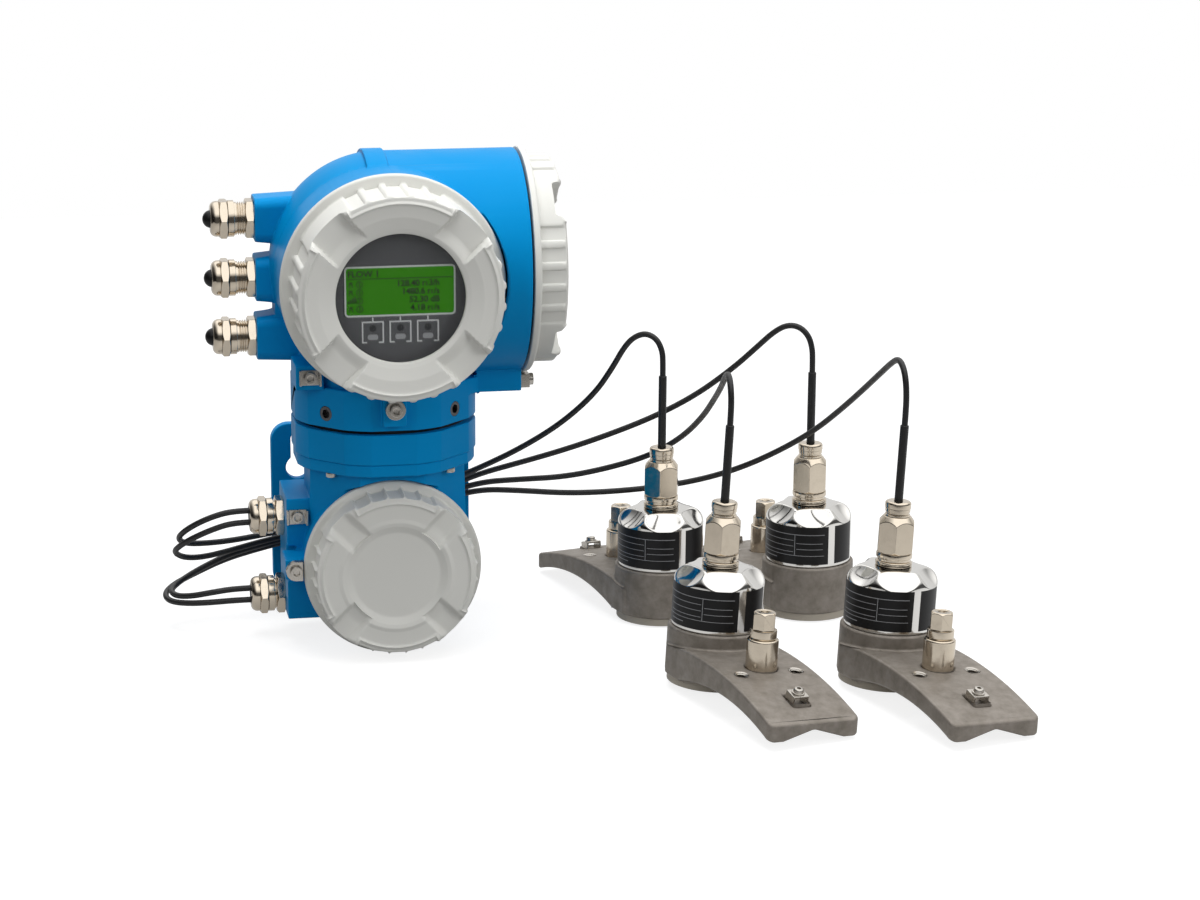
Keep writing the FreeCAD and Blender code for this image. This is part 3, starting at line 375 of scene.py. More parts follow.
def span(tree, value, start, end, low=0.0, high=1.0):
    """A value run from a start and end to a low and high."""
    made = add(tree, "ShaderNodeMapRange", {
        "Value": value, "From Min": start, "From Max": end, "To Min": low, "To Max": high})
    return made.outputs["Result"]


def combined(tree, operation, first, second):
    """Two values worked into one."""
    return add(tree, "ShaderNodeMath", {0: first, 1: second}, operation=operation).outputs[0]


def noise(tree, size, detail, roughness=0.5):
    """Noise in patches of a size in mm, in the piece's own coordinates."""
    place = add(tree, "ShaderNodeTexCoord", {})
    made = add(tree, "ShaderNodeTexNoise", {
        "Vector": place.outputs["Object"], "Scale": 1 / (size * MM), "Detail": detail,
        "Roughness": roughness})
    return made.outputs["Fac"]


def material(name, colour, gloss=None, relief=None, stain=None, **values):
    """A material with plain values on its shader and, where given, an uneven gloss (low and high roughness,
    patch size in mm), a relief (grain size and depth in mm) and a stain (second colour, patch size in mm)."""
    made = bpy.data.materials.new(name)
    made.use_nodes = True
    tree = made.node_tree
    sockets = tree.nodes["Principled BSDF"].inputs
    sockets["Base Color"].default_value = (*colour, 1)
    for key, value in values.items():
        sockets[key.replace("_", " ").title().replace("Ior", "IOR")].default_value = value
    if stain:
        share = span(tree, noise(tree, stain[1], 5.0, 0.65), *PATCHES)
        mix = add(tree, "ShaderNodeMix", {
            0: share, 6: (*colour, 1), 7: (*linear(stain[0]), 1)}, data_type="RGBA")
        tree.links.new(mix.outputs[2], sockets["Base Color"])
    if relief:
        bump = add(tree, "ShaderNodeBump", {
            "Height": noise(tree, relief[0], 2.0, 0.6), "Distance": relief[1] * MM, "Strength": 1})
        tree.links.new(bump.outputs["Normal"], sockets["Normal"])
    if gloss:
        low, high, size = gloss
        tree.links.new(span(tree, noise(tree, size, 3.0), *PATCHES, low, high), sockets["Roughness"])
    return made


def powder_coat(name, colour):
    """Powder-coated die-cast aluminium: satin, with a faint orange peel about 1.5 mm wide."""
    return material(name, colour[:], (0.36, 0.46, 25), (1.5, 0.012), ior=1.5, specular_ior_level=0.09)


def metal(name, code, *gloss):
    """Bare metal: it mirrors what is round it, a little blurred and uneven."""
    return material(name, linear(code), gloss, metallic=1.0)


def rubber(name, code, roughness):
    """Moulded elastomer: dark, dull, a little uneven in its sheen."""
    return material(name, linear(code), (roughness - 0.06, roughness + 0.06, 6), ior=1.52)


def plastic(name, code, roughness):
    """Moulded plastic with a fine spark-eroded grain, drawn 0.7 mm wide so that it shows."""
    return material(name, linear(code), relief=(0.7, 0.01),
                    roughness=roughness, ior=1.49, specular_ior_level=0.3)


def print_ink(name, code):
    """Screen-printed ink: flat and even, a little patchy in its gloss."""
    return material(name, linear(code), (0.5, 0.6, 3))


def make_coats(sizes):
    """All materials of the object, by a short name."""
    glow = sizes.screen_colour[:]
    COATS.update({
        "blue": powder_coat("blue powder-coated aluminium", sizes.housing_colour),
        "grey": powder_coat("light grey powder-coated aluminium", sizes.lid_colour),
        # Warm and bright, with soft turning marks
        "nickel": metal("nickel-plated brass", "#D7CBB9", 0.11, 0.21, 4),
        # Clear reflections, a little broken by buffing
        "mirror": metal("polished stainless steel", "#E4E2DE", 0.06, 0.12, 9),
        # Turned and milled: bright, with a soft sheen
        "steel": metal("machined stainless steel", "#C4BFB7", 0.25, 0.31, 5),
        # Dark, with an oily sheen
        "black": metal("black-oxide steel", "#6A6A6C", 0.3, 0.4, 3),
        # Dull grey-brown, pitted by beads about 0.5 mm wide, drawn at 0.9 mm so that the pits show
        "cast": material("bead-blasted cast stainless steel", linear("#7D766D"), (0.5, 0.6, 12),
                         (0.9, 0.05), ("#99928A", 9), metallic=0.6),
        "seal": rubber("moulded EPDM rubber", "#161616", 0.62),
        "cable": rubber("extruded PVC cable sheath", "#1B1B1C", 0.42),
        "plug": plastic("black moulded polyamide", "#161617", 0.36),
        "bezel": plastic("dark grey moulded ABS", "#515154", 0.48),
        "module": plastic("black moulded PBT", "#2A2B2D", 0.5),
        "terminals": plastic("grey moulded polyamide terminals", "#6F7672", 0.5),
        "pad": plastic("cast coupling resin", "#B9B1A4", 0.55),
        # Clear, with a faint reflection
        "glass": material("toughened float glass", linear("#F2F6F4"), (0.01, 0.03, 30),
                          ior=1.5, transmission_weight=1.0, alpha=0.22),
        # An even green glow under a satin polariser
        "screen": material("backlit liquid-crystal screen", [part * 0.25 for part in glow], (0.3, 0.4, 8),
                           ior=1.5, specular_ior_level=0.1,
                           emission_color=(*glow, 1), emission_strength=0.7),
        "dark_ink": print_ink("liquid-crystal segments", "#061402"),
        "pale_ink": print_ink("pale grey screen print", "#C4C5C6"),
        "key_ink": print_ink("dark grey screen print", "#242427"),
        "pad_ink": print_ink("mid grey screen print", "#8A8B8E"),
        "label": plastic("black polyester label", "#141415", 0.38),
        "label_ink": print_ink("grey label print", "#8C8D90"),
    })


# Cables: their lengths in metres, and their points in mm from the gland inserts to the kink sleeves
CABLES = {
    1: (0.4775, (
        (-89, -75, 58), (-100, -75, 58), (-112, -74, 55), (-124, -70, 49), (-133, -62, 41), (-135, -52, 34),
        (-129, -42, 28), (-115, -36, 26), (-98, -32, 26), (-77, -28.5, 28), (-51, -27, 32), (-20, -26, 38),
        (11, -25, 46), (42, -25, 56), (72, -27, 68), (100, -32, 82), (127, -39, 100), (149, -47, 122),
        (160, -55, 142), (166, -61, 156), (171.5, -66.5, 164.5), (179, -72, 168.5), (186, -75.8, 165),
        (189.5, -77.5, 156.8), (189.89, -77.76, 148.26), (189.84, -77.77, 139.86))),
    2: (0.575, (
        (-89, -75, 50), (-100, -75, 50), (-113, -74, 46), (-126, -70, 39.5), (-135, -62, 32),
        (-138, -51, 25), (-131, -41, 18), (-118, -35, 16), (-100, -31, 18.5), (-78, -25.5, 22.5),
        (-51, -23, 27), (-20, -22, 33), (12, -21, 41), (43, -21, 51), (72, -23, 63), (101, -27, 71),
        (131, -32, 80), (161, -38, 91), (191, -45, 104), (219, -52, 120), (243, -60, 140), (258, -67, 156),
        (267, -72, 166), (275, -76, 171.5), (283, -79.5, 171), (289, -82, 165), (291.5, -82.7, 156.5),
        (291.89, -82.76, 148.26), (291.84, -82.77, 139.86))),
    3: (0.651, (
        (-89, -75, 4.5), (-100, -75, 4.5), (-114, -74, 2.5), (-128, -69, -1), (-138, -60, -3),
        (-141, -49, -2), (-134, -39, 1), (-120, -31.5, 7), (-100, -26, 14.5), (-77, -21, 19),
        (-51, -18.5, 23.5), (-20, -17.5, 29.5), (12, -16.5, 37), (43, -16.5, 46), (73, -18.5, 56),
        (101, -23, 58), (132, -29, 60), (162, -36, 67), (188, -46, 77), (205, -68, 94), (212, -102, 116),
        (212, -140, 138), (209, -172, 153), (206, -195, 164), (204.5, -208, 169.5), (203.5, -218, 171),
        (203, -225, 167), (202.9, -228.2, 159), (202.83, -228.23, 149.7), (202.33, -228.37, 141.31))),
    4: (0.7565, (
        (-89, -75, -3.5), (-100, -75, -3.5), (-115, -74, -4.5), (-130, -69, -6), (-142, -59, -7),
        (-145, -47, -5), (-138, -35, -2), (-122, -26.5, 3), (-102, -20.5, 10), (-77, -16.5, 15.5),
        (-51, -14, 20.5), (-20, -13, 26.5), (12, -12.5, 33.5), (43, -12.5, 41.5), (73, -14.5, 50),
        (102, -19, 49), (133, -24, 47), (163, -29, 48), (194, -34, 51), (225, -41, 57), (250, -58, 69),
        (271, -84, 87), (287, -113, 107), (298, -145, 130), (304.5, -177, 151), (308, -204, 167.5),
        (309, -222, 177), (309.6, -233, 181), (310.3, -241.5, 178), (311, -245.8, 170),
        (311.5, -246.3, 160), (311.33, -246.23, 149.7), (310.83, -246.37, 141.31))),
}
CABLE_WIDTH = 0.004


class FLOWMETER_OT_cables(bpy.types.Operator):
    """Lay the four transducer cables"""

    bl_idname = "flowmeter.cables"
    bl_label = "Cables"

    def execute(self, context):
        for index, (length, route) in CABLES.items():
            points = [tuple(value / 1000 for value in point) for point in route]
            curve = bpy.data.curves.new("cable", "CURVE")
            curve.dimensions = "3D"
            curve.bevel_depth = CABLE_WIDTH / 2
            curve.bevel_resolution = 5
            curve.use_fill_caps = True
            spline = curve.splines.new("NURBS")
            spline.points.add(len(points) - 1)
            for made, point in zip(spline.points, points):
                made.co = (*point, 1)
            spline.order_u = 3
            spline.use_endpoint_u = True
            spline.resolution_u = 8
            cord = bpy.data.objects.new("cable", curve)
            context.scene.collection.objects.link(cord)
            finish(cord, f"sensor_cable_{index}", "cable", "base", "cable_black", f"cable_{index}")
        return {"FINISHED"}


# Cable bosses of the head in mm: their root, the height above which they stand, the lowest, and their pitch
BOSS_ROOT, BOSS_FLOOR, BOSS_LOWEST, BOSS_PITCH = -75, 150, 176.5, 39.0
BOSS_DRAFT = 0.92
# Round that takes the corners off the faceted necks: radius, foot and top in mm, and lower tops by angle
NECKS = {
    "head_housing": (61.2, 124, 152.5, {202.5: 150.2, 337.5: 140.6}),
    "swivel_ring": (61.2, 101, 124, {}),
    "connection_housing": (60.2, 94, 104, {}),
}
NECK_Y, NECK_OUTSIDE = -85, 80
# Corners of a neck, half the sweep of each round in degrees, and its steps
CORNERS, CORNER_REACH, CORNER_STEPS = 8, 14, 14
# Rims of the head's turned neck, which stay sharp: heights and radii in mm
RIM_LOW, RIM_TOP, RIM_INNER, RIM_OUTER = 123.5, 152.6, 55.0, 62.2


class FLOWMETER_OT_castings(bpy.types.Operator):
    """Round and paint the castings of the transmitter"""

    bl_idname = "flowmeter.castings"
    bl_label = "Castings"

    def execute(self, context):
        edge = context.scene.flow_meter.casting_edge
        for node, name, body, slot in (
                ("head_housing", "head_casting", "head", "housing_blue"),
                ("swivel_ring", "swivel_casting", "base", "housing_blue"),
                ("connection_housing", "connection_casting", "base", "housing_blue"),
                ("wall_bracket", "bracket_plate", "base", "bracket_steel")):
            piece = merged(node)
            if node == "head_housing":
                self.taper_bosses(piece)
            if node in NECKS:
                self.ease_neck(piece, *NECKS[node])
            rounded_some(piece, edge, self.off_rims, True, segments=3, clamp_overlap=False, miter_outer="ARC")
            finish(smooth(piece), name, "blue", body, slot, node)
        return {"FINISHED"}

    @staticmethod
    def off_rims(*ends):
        """Whether an edge isn't on the rims of the head's turned neck."""
        for end in ends:
            radius = math.hypot(end.x / MM, end.y / MM - NECK_Y)
            if not (RIM_LOW < end.z / MM < RIM_TOP and RIM_INNER < radius < RIM_OUTER):
                return True
        return False

    @staticmethod
    def ease_neck(piece, radius, low, high, lower_tops):
        """Turn the upright corners of an octagonal neck down to a round, up to a lug where one stands."""
        tools = []
        for corner in range(CORNERS):
            angle = (corner + 0.5) * 360 / CORNERS
            top = lower_tops.get(angle, high)
            chain = [(radius, low), (NECK_OUTSIDE, low), (NECK_OUTSIDE, top), (radius, top), (radius, low)]
            tools.append(turned(chain, CORNER_STEPS, math.radians(angle - CORNER_REACH),
                                math.radians(2 * CORNER_REACH)))
        carved(piece, stand(joined(tools), placed(0, NECK_Y, 0)))

    @staticmethod
    def taper_bosses(piece):
        """Give the three cable bosses the draft of a casting towards their seats."""
        for vertex in piece.data.vertices:
            height = vertex.co.z / MM
            if vertex.co.x / MM < BOSS_ROOT and height > BOSS_FLOOR:
                middle = BOSS_LOWEST + BOSS_PITCH * round((height - BOSS_LOWEST) / BOSS_PITCH)
                vertex.co.z = (middle + (height - middle) * BOSS_DRAFT) * MM


# Lids in mm and degrees: finger grooves; width, depth and soft edge of the broad recesses between them;
# and the bead that runs inside the grooves
FLANGE_TOP = 16.5
GROOVE_WIDTH, GROOVE_DEPTH, GROOVE_ANGLE, GROOVE_EDGE = 9.5, 1.8, 12, 0.7
BROAD, NARROW = (26, 6, 0.9), (15, 4, 2.2)
RECESS_SHARE, RECESS_RUN = 0.55, 9
BEAD_ANGLE, BEAD_HEIGHT, BEAD_WIDTH, BEAD_BAND = 31, 1.2, 0.9, 2.5
# Bore, flange and crown radius of each lid, and heights of the window lid and the blind lids
LARGE, SIDE, SMALL = (60.92, 72.3, 66.5), (62.52, 73.9, 68.1), (47.92, 58.3, 53.5)
WINDOW_FRONT, SIDE_FRONT, SMALL_FRONT = 59.5, 34.0, 38.0
WALL, LID_GAP, GRIP_DEPTH = 5, 0.7, 7.5


def rim_corners(bore, flange, crown, front):
    """Corners that all lids share: threaded spigot, flange and crown."""
    return [(bore - WALL, 0, 0.4), (bore, 0, 0.4), (bore, 12, 0.3), (flange, 12, 0.8),
            (flange, FLANGE_TOP, 1.8), (crown, FLANGE_TOP, 1.6), (crown, front, 3.2)]


def window_corners(front, inside):
    """Face corners of the lid with a window: a slope down to the pane and the seat behind it."""
    return [(60, front, 2), (52, front - 0.9, 6), (44.5, front - 3.2, 4), (41, front - 4.6, 1.2),
            (41, 52, 0.2), (44.1, 52, 0.2), (44.1, 46, 0.2), (inside, 46, 1)]


def blind_corners(dish, front, inside):
    """Face corners of a lid without a window: a raised round ring about a dished middle."""
    return [(dish + 5, front, 3), (dish + 2.5, front + 0.7, 2), (dish, front, 1.5),
            (dish - 4.5, front - 2.4, 4), (0, front - 2.4, 0), (0, front - 8, 0), (inside, front - 8, 1)]


def press_grips(piece, crown, front, start, bead, recess):
    """Press the finger grooves and broad recesses into a crown, and raise the bead inside them."""
    width, depth, soft = recess
    for vertex in piece.data.vertices:
        x, y, height = vertex.co / MM
        radius = math.hypot(x, y)
        if radius < start or height < FLANGE_TOP + 0.05 or (radius < crown - 6 and height < front - 8):
            continue
        off = (math.degrees(math.atan2(y, x)) + 45) % 90 - 45
        step = min(max(round(off / GROOVE_ANGLE), -2), 2)
        swing = math.radians(off - step * GROOVE_ANGLE)
        aside = abs(radius * math.sin(swing)) - GROOVE_WIDTH / 2
        floor = (crown - GROOVE_DEPTH) / math.cos(swing)
        new_radius = radius + min(0, floor - radius) * (1 - ease(aside, -GROOVE_EDGE, GROOVE_EDGE))
        aside = abs(radius * math.sin(math.radians(45 - abs(off)))) - width / 2
        run = ease(radius, start, start + RECESS_RUN)
        floor = front - depth * (RECESS_SHARE + (1 - RECESS_SHARE) * run)
        new_height = height + min(0, floor - height) * (1 - ease(aside, -soft, soft))
        if height > front - BEAD_BAND:
            across = radius - bead
            along = math.radians(abs(off) - BEAD_ANGLE) * radius
            gap = math.hypot(across, max(0, along))
            if across > 0:
                gap = min(gap, abs(along))
            new_height += BEAD_HEIGHT * math.exp(-(gap / BEAD_WIDTH) ** 2)
        scale = new_radius / radius
        vertex.co = Vector((x * scale, y * scale, new_height)) * MM


class FLOWMETER_OT_lids(bpy.types.Operator):
    """Turn the three screwed lids and press their grips"""

    bl_idname = "flowmeter.lids"
    bl_label = "Lids"

    def execute(self, context):
        steps = context.scene.flow_meter.lid_steps
        window = window_corners(WINDOW_FRONT, LARGE[0] - WALL)
        side = blind_corners(45, SIDE_FRONT, SIDE[0] - WALL)
        small = blind_corners(33, SMALL_FRONT, SMALL[0] - WALL)
        for label, radii, front, face, start, bead, recess, place in (
                ("front", LARGE, WINDOW_FRONT, window, 43.5, 61.0, BROAD,
                 placed(0, -134.5, 221, FACING_FRONT)),
                ("terminal", SIDE, SIDE_FRONT, side, 43.5, 62.6, BROAD,
                 placed(78.1, -85, 224.3, FACING_RIGHT)),
                ("connection", SMALL, SMALL_FRONT, small, 32.5, 48.4, NARROW,
                 placed(0, -115.5, 31, FACING_FRONT))):
            chain = ring(rim_corners(*radii, front) + face)
            lid = turned(spread(chain, LID_GAP, front - GRIP_DEPTH, start - 1), steps)
            press_grips(lid, radii[2], front, start, bead, recess)
            smooth(stand(lid, place), 40)
            finish(lid, f"{label}_cover", "grey", f"{label}_lid", "lid_grey", f"{label}_lid")
        dressed("sight_glass", 0.4 * MM, 2, "window_pane", "glass", "front_lid", "window_glass")
        return {"FINISHED"}


# Display: places on its face in mm, to the right of and above the window's axis
FACE_Y, AXIS_Z = -178.9, 221.0
SCREEN_X, SCREEN_Z, SCREEN_WIDE, SCREEN_HIGH = 0.6, 3.2, 69.0, 31.0
KEYS = (-16.8, 0.6, 18.0)
KEY_Z, KEY_SIDE, KEY_LINE = -22.8, 13.0, 0.8
# On the screen: rise of each row from the middle and its figures; the row that has bars for its sign
ROWS = ((4.6, "128.40 m3/h"), (-0.6, "1480.6 m/s"), (-5.8, "52.30 dB"), (-11.0, "4.18 m/s"))
BARS_RISE = -5.8
SIGN_X, CHANNEL_X, FIGURES_X = -31, -25.5, 25
# How proud of the face the prints stand, in mm
SCREEN_PROUD, FRAME_PROUD, MARK_PROUD, TEXT_PROUD, LINE_PROUD, PAD_PROUD = 0.1, 0.25, 0.28, 0.22, 0.15, 0.12
PRINT_THICK, DOT_STEPS = 0.3, 32


def plate(x, z, wide, high, proud, thick=PRINT_THICK, turn=0.0):
    """A thin flat plate on the display's face, its front proud of the face."""
    turned_plate = Matrix.Rotation(math.radians(turn), 4, "Y")
    return block(wide, thick, high, placed(x, FACE_Y - proud + thick / 2, AXIS_Z + z, turned_plate))


def round_plate(x, z, wide, high, proud, radius, thick=PRINT_THICK):
    """A plate with its four corners rounded, seen from the front."""
    return rounded_some(plate(x, z, wide, high, proud, thick), radius * MM,
                        lambda start, end: abs(start.y - end.y) > 0.9 * (start - end).length,
                        False, segments=6)


def mark(x, z, wide, high, turn=0.0):
    """A bar on the screen, placed from the screen's middle."""
    return plate(SCREEN_X + x, SCREEN_Z + z, wide, high, MARK_PROUD, turn=turn)


def disc(x, z, proud, corners):
    """A thin turned shape on the display's face, its back proud of the face."""
    return stand(turned(ring(corners), DOT_STEPS), placed(x, FACE_Y - proud, AXIS_Z + z, FACING_FRONT))


def written(words, x, z, size, align):
    """Thin raised figures on the screen, placed from the screen's middle."""
    bpy.ops.object.text_add()
    text = bpy.context.active_object.data
    text.body = words
    text.size = size * MM
    text.align_x = align
    text.align_y = "CENTER"
    text.extrude = 0.08 * MM
    text.offset = 0.14 * MM
    bpy.ops.object.convert(target="MESH")
    place = placed(SCREEN_X + x, FACE_Y - TEXT_PROUD, AXIS_Z + SCREEN_Z + z, FACING_FRONT)
    return stand(bpy.context.active_object, place)


class FLOWMETER_OT_display(bpy.types.Operator):
    """Build the display's face, its screen, figures and touch keys"""

    bl_idname = "flowmeter.display"
    bl_label = "Display"

    def execute(self, context):
        dressed("display_panel", 0.3 * MM, 2, "display_bezel", "bezel", "display", "display_face")
        inner = (SCREEN_X, SCREEN_Z, SCREEN_WIDE - 1, SCREEN_HIGH - 1)
        outer = (SCREEN_X, SCREEN_Z, SCREEN_WIDE + 1, SCREEN_HIGH + 1)
        screen = round_plate(*inner, SCREEN_PROUD, 2, 0.9)
        finish(screen, "screen", "screen", "display", "display_face")
        rim = carved(round_plate(*outer, FRAME_PROUD, 2.6), round_plate(*inner, FRAME_PROUD + 0.2, 1.6, 1.0))
        lines, pads, dots = [rim], [], []
        for x in KEYS:
            lines += self.key_lines(x)
            dots.append(disc(x, KEY_Z + 2.4, PAD_PROUD - PRINT_THICK, [
                (0, 0, 0), (2.2, 0, 0), (2.2, PRINT_THICK, PRINT_THICK / 2), (0, PRINT_THICK, 0)]))
            pads.append(round_plate(x, KEY_Z - 3.2, 6.6, 3.4, PAD_PROUD, 1.4))
        for name, coat, prints in (
                ("screen_figures", "dark_ink", self.figures()), ("display_lines", "pale_ink", lines),
                ("key_dots", "key_ink", dots), ("key_pads", "pad_ink", pads)):
            finish(joined(prints), name, coat, "display", "display_face")
        return {"FINISHED"}

    @staticmethod
    def figures():
        """A heading with a rule below it, and rows of a sign, a channel number in a circle and a value."""
        made = [mark(0, 8.0, SCREEN_WIDE - 2, 0.45), written("FLOW 1", -33, 11, 5.6, "LEFT")]
        for rise, number in ROWS:
            made.append(written(number, FIGURES_X, rise, 5.4, "RIGHT"))
            made.append(disc(SCREEN_X + CHANNEL_X, SCREEN_Z + rise, 0.08, [
                (1.7, 0, 0), (2.2, 0, 0), (2.2, 0.2, 0), (1.7, 0.2, 0)]))
            made.append(written("1", CHANNEL_X, rise, 3.6, "CENTER"))
            if rise == BARS_RISE:
                made += [mark(SIGN_X - 1.6 + 1.4 * step, rise - 0.8 + 0.5 * step, 0.9, 1.6 + step)
                         for step in range(4)]
            else:
                made.append(mark(SIGN_X, rise + 1.2, 2.6, 0.6))
                made += [mark(SIGN_X + side * 0.8, rise - 0.4, 0.6, 2.8, -20 * side) for side in (-1, 1)]
        return made

    @staticmethod
    def key_lines(x):
        """Bracket lines round one touch key, open at the bottom middle, and its tick above."""
        half = KEY_SIDE / 2
        bars = [(0, half, KEY_SIDE + KEY_LINE, KEY_LINE), (0, half + 1.8, KEY_LINE, 2.4)]
        for side in (-1, 1):
            bars += [(side * half, 0, KEY_LINE, KEY_SIDE), (side * (half - 1.2), -half, 3.2, KEY_LINE)]
        return [plate(x + right, KEY_Z + up, wide, high, LINE_PROUD) for right, up, wide, high in bars]


# Cable glands: lengths from the seat in mm, and where they stand
GLAND_HEX, GLAND_FLANGE, GLAND_NUT, GLAND_DOME = 24.0, 5.5, 8.0, 7.5
THREAD_R, THREAD_DEPTH, SEAT_R = 10.7, 0.95, 7.6
HEAD_THREAD, SENSOR_THREAD = 7.0, 1.5
HEAD_GLANDS = [placed(-82.2, -75, BOSS_LOWEST + BOSS_PITCH * step, FACING_LEFT) for step in range(3)]
SENSOR_GLANDS = [placed(-66.5, -75, z, FACING_LEFT) for z in (0.5, 54.0)]


def arc(across, up, wide, high, start, end):
    """Points in mm every 10 degrees along an arc about a middle."""
    return [(across + wide * math.cos(math.radians(turn)), up + high * math.sin(math.radians(turn)))
            for turn in range(start, end + 1, 10)]


class FLOWMETER_OT_glands(bpy.types.Operator):
    """Build the cable glands with their threads, domed nuts and plugs"""

    bl_idname = "flowmeter.glands"
    bl_label = "Glands"

    def execute(self, context):
        sizes = context.scene.flow_meter
        for label, places, thread, body in (
                ("head", HEAD_GLANDS, HEAD_THREAD, "head"), ("sensor", SENSOR_GLANDS, SENSOR_THREAD, "base")):
            for kind, model, node in (
                    ("stems", self.stem(thread, sizes), "bodies"),
                    ("domes", self.nut(GLAND_FLANGE + thread, sizes.turn_steps), "nuts")):
                finish(joined(copies(model, places)), f"{label}_gland_{kind}", "nickel", body,
                       "nickel_brass", f"{label}_gland_{node}")
        mouth = GLAND_FLANGE + HEAD_THREAD + GLAND_NUT + GLAND_DOME
        foot = (0, mouth - 4)
        plug = smooth(turned([foot, *arc(0, mouth - 0.6, 5.8, 5.4, -20, 90), foot], sizes.turn_steps))
        finish(joined(copies(plug, HEAD_GLANDS)), "blind_plugs", "plug", "head", "plug_plastic",
               "head_gland_plugs")
        dressed("sensor_gland_inserts", 0.5 * MM, 2, "rubber_inserts", "seal", "base", "seal_rubber")
        return {"FINISHED"}

    @staticmethod
    def stem(thread, sizes):
        """Hexagon flange and threaded neck, from the seat outwards."""
        flange = hexagon(GLAND_HEX, 0, GLAND_FLANGE, (12.4, 0.6), (11.8, 1.0))
        pitch = sizes.thread_pitch / MM
        root = THREAD_R - THREAD_DEPTH
        chain = [(0, GLAND_FLANGE - 1), (THREAD_R, GLAND_FLANGE - 1)]
        height = GLAND_FLANGE
        while height + pitch <= GLAND_FLANGE + thread + 0.01:
            chain += [(root, height + pitch * 0.2), (root, height + pitch * 0.4),
                      (THREAD_R, height + pitch * 0.65), (THREAD_R, height + pitch * 0.95)]
            height += pitch
        chain += [(THREAD_R, height + 1), (0, height + 1), chain[0]]
        return joined([flange, smooth(turned(chain, sizes.turn_steps), 25)])

    @staticmethod
    def nut(low, steps):
        """Notched hexagon nut that closes to a dome."""
        top = low + GLAND_NUT + GLAND_DOME
        flats = hexagon(GLAND_HEX, low + 4.4, low + 9.6, (12.2, 0.8), (12.0, 1.0))
        nose = [(*point, 0) for point in arc(7.8, top - 4.2, 3.8, 4.2, 0, 90)]
        collar = lathed([
            (SEAT_R, low, 0.2), (11.9, low, 0.4), (11.9, low + 4, 0.3), (10.8, low + 4.3, 0.1),
            (10.8, low + 9.7, 0.1), (11.6, low + 9.9, 0.2), *nose, (5.9, top, 0.5), (5.9, top - 5, 0.2),
            (SEAT_R, top - 5, 0.2)], steps, 30)
        return joined([flats, collar])


class FLOWMETER_OT_hardware(bpy.types.Operator):
    """Finish the clamps, clips and screws"""

    bl_idname = "flowmeter.hardware"
    bl_label = "Hardware"

    def execute(self, context):
        edge = context.scene.flow_meter.metal_edge
        for node, body in (
                ("front_lid_clamp", "head"), ("terminal_lid_clamp", "head"), ("connection_lid_clamp", "base"),
                ("head_earth_clip", "head"), ("base_earth_clip", "base"), ("head_screws", "head"),
                ("base_screws", "base"), ("neck_set_screws", "head"), ("ring_screws", "base"),
                ("bracket_screws", "base")):
            coat = "black" if node == "neck_set_screws" else "steel"
            dressed(node, edge, 2, node + "_metal", coat, body, "stainless")
        return {"FINISHED"}


# Transducers: heights above their own foot in mm
CAP_LOW, CAP_TOP, CAP_R, CAP_BORE, CAP_HOLE = 37.3, 75.9, 29.0, 26.5, 9.1
CAP_STEPS, CAP_GAP = 200, 0.9
DIMPLE_R, DIMPLE_OUT, DIMPLE_UP, DIMPLE_TURN, DIMPLE_RIM = 36.0, 48.4, 19.4, -21.5, 0.35
# Labels and the bare rules on them: rise and height in mm, start and end angle in degrees
LABEL_LOW, LABEL_PROUD, RULE_PROUD = 39.4, 0.12, 0.18
LABELS = ((0, 26.2, -196, -76), (0, 26.2, -66, -28))
LABEL_RULES = (
    (20.5, 0.45, -186, -82), (16.5, 0.35, -180, -124), (12.5, 0.35, -180, -124), (8.5, 0.35, -180, -124),
    (14.5, 0.35, -120, -84), (10.5, 0.35, -120, -84), (6.0, 0.35, -186, -82),
    (6.0, 14.5, -122.6, -121.8), (3.2, 0.5, -176, -150),
)


def press_dimples(piece):
    """Press six round dimples into a cap's shoulder, with soft rims."""
    first, sixth = math.radians(DIMPLE_TURN), math.radians(60)
    for vertex in piece.data.vertices:
        point = vertex.co / MM
        if point.z < CAP_TOP - 18 or math.hypot(point.x, point.y) < 12:
            continue
        turn = first + round((math.atan2(point.y, point.x) - first) / sixth) * sixth
        centre = Vector((DIMPLE_OUT * math.cos(turn), DIMPLE_OUT * math.sin(turn), CAP_TOP + DIMPLE_UP))
        arm = point - centre
        gap = arm.length - DIMPLE_R
        pushed = DIMPLE_R + (gap + math.sqrt(gap * gap + DIMPLE_RIM)) / 2
        vertex.co = (centre + arm.normalized() * pushed) * MM


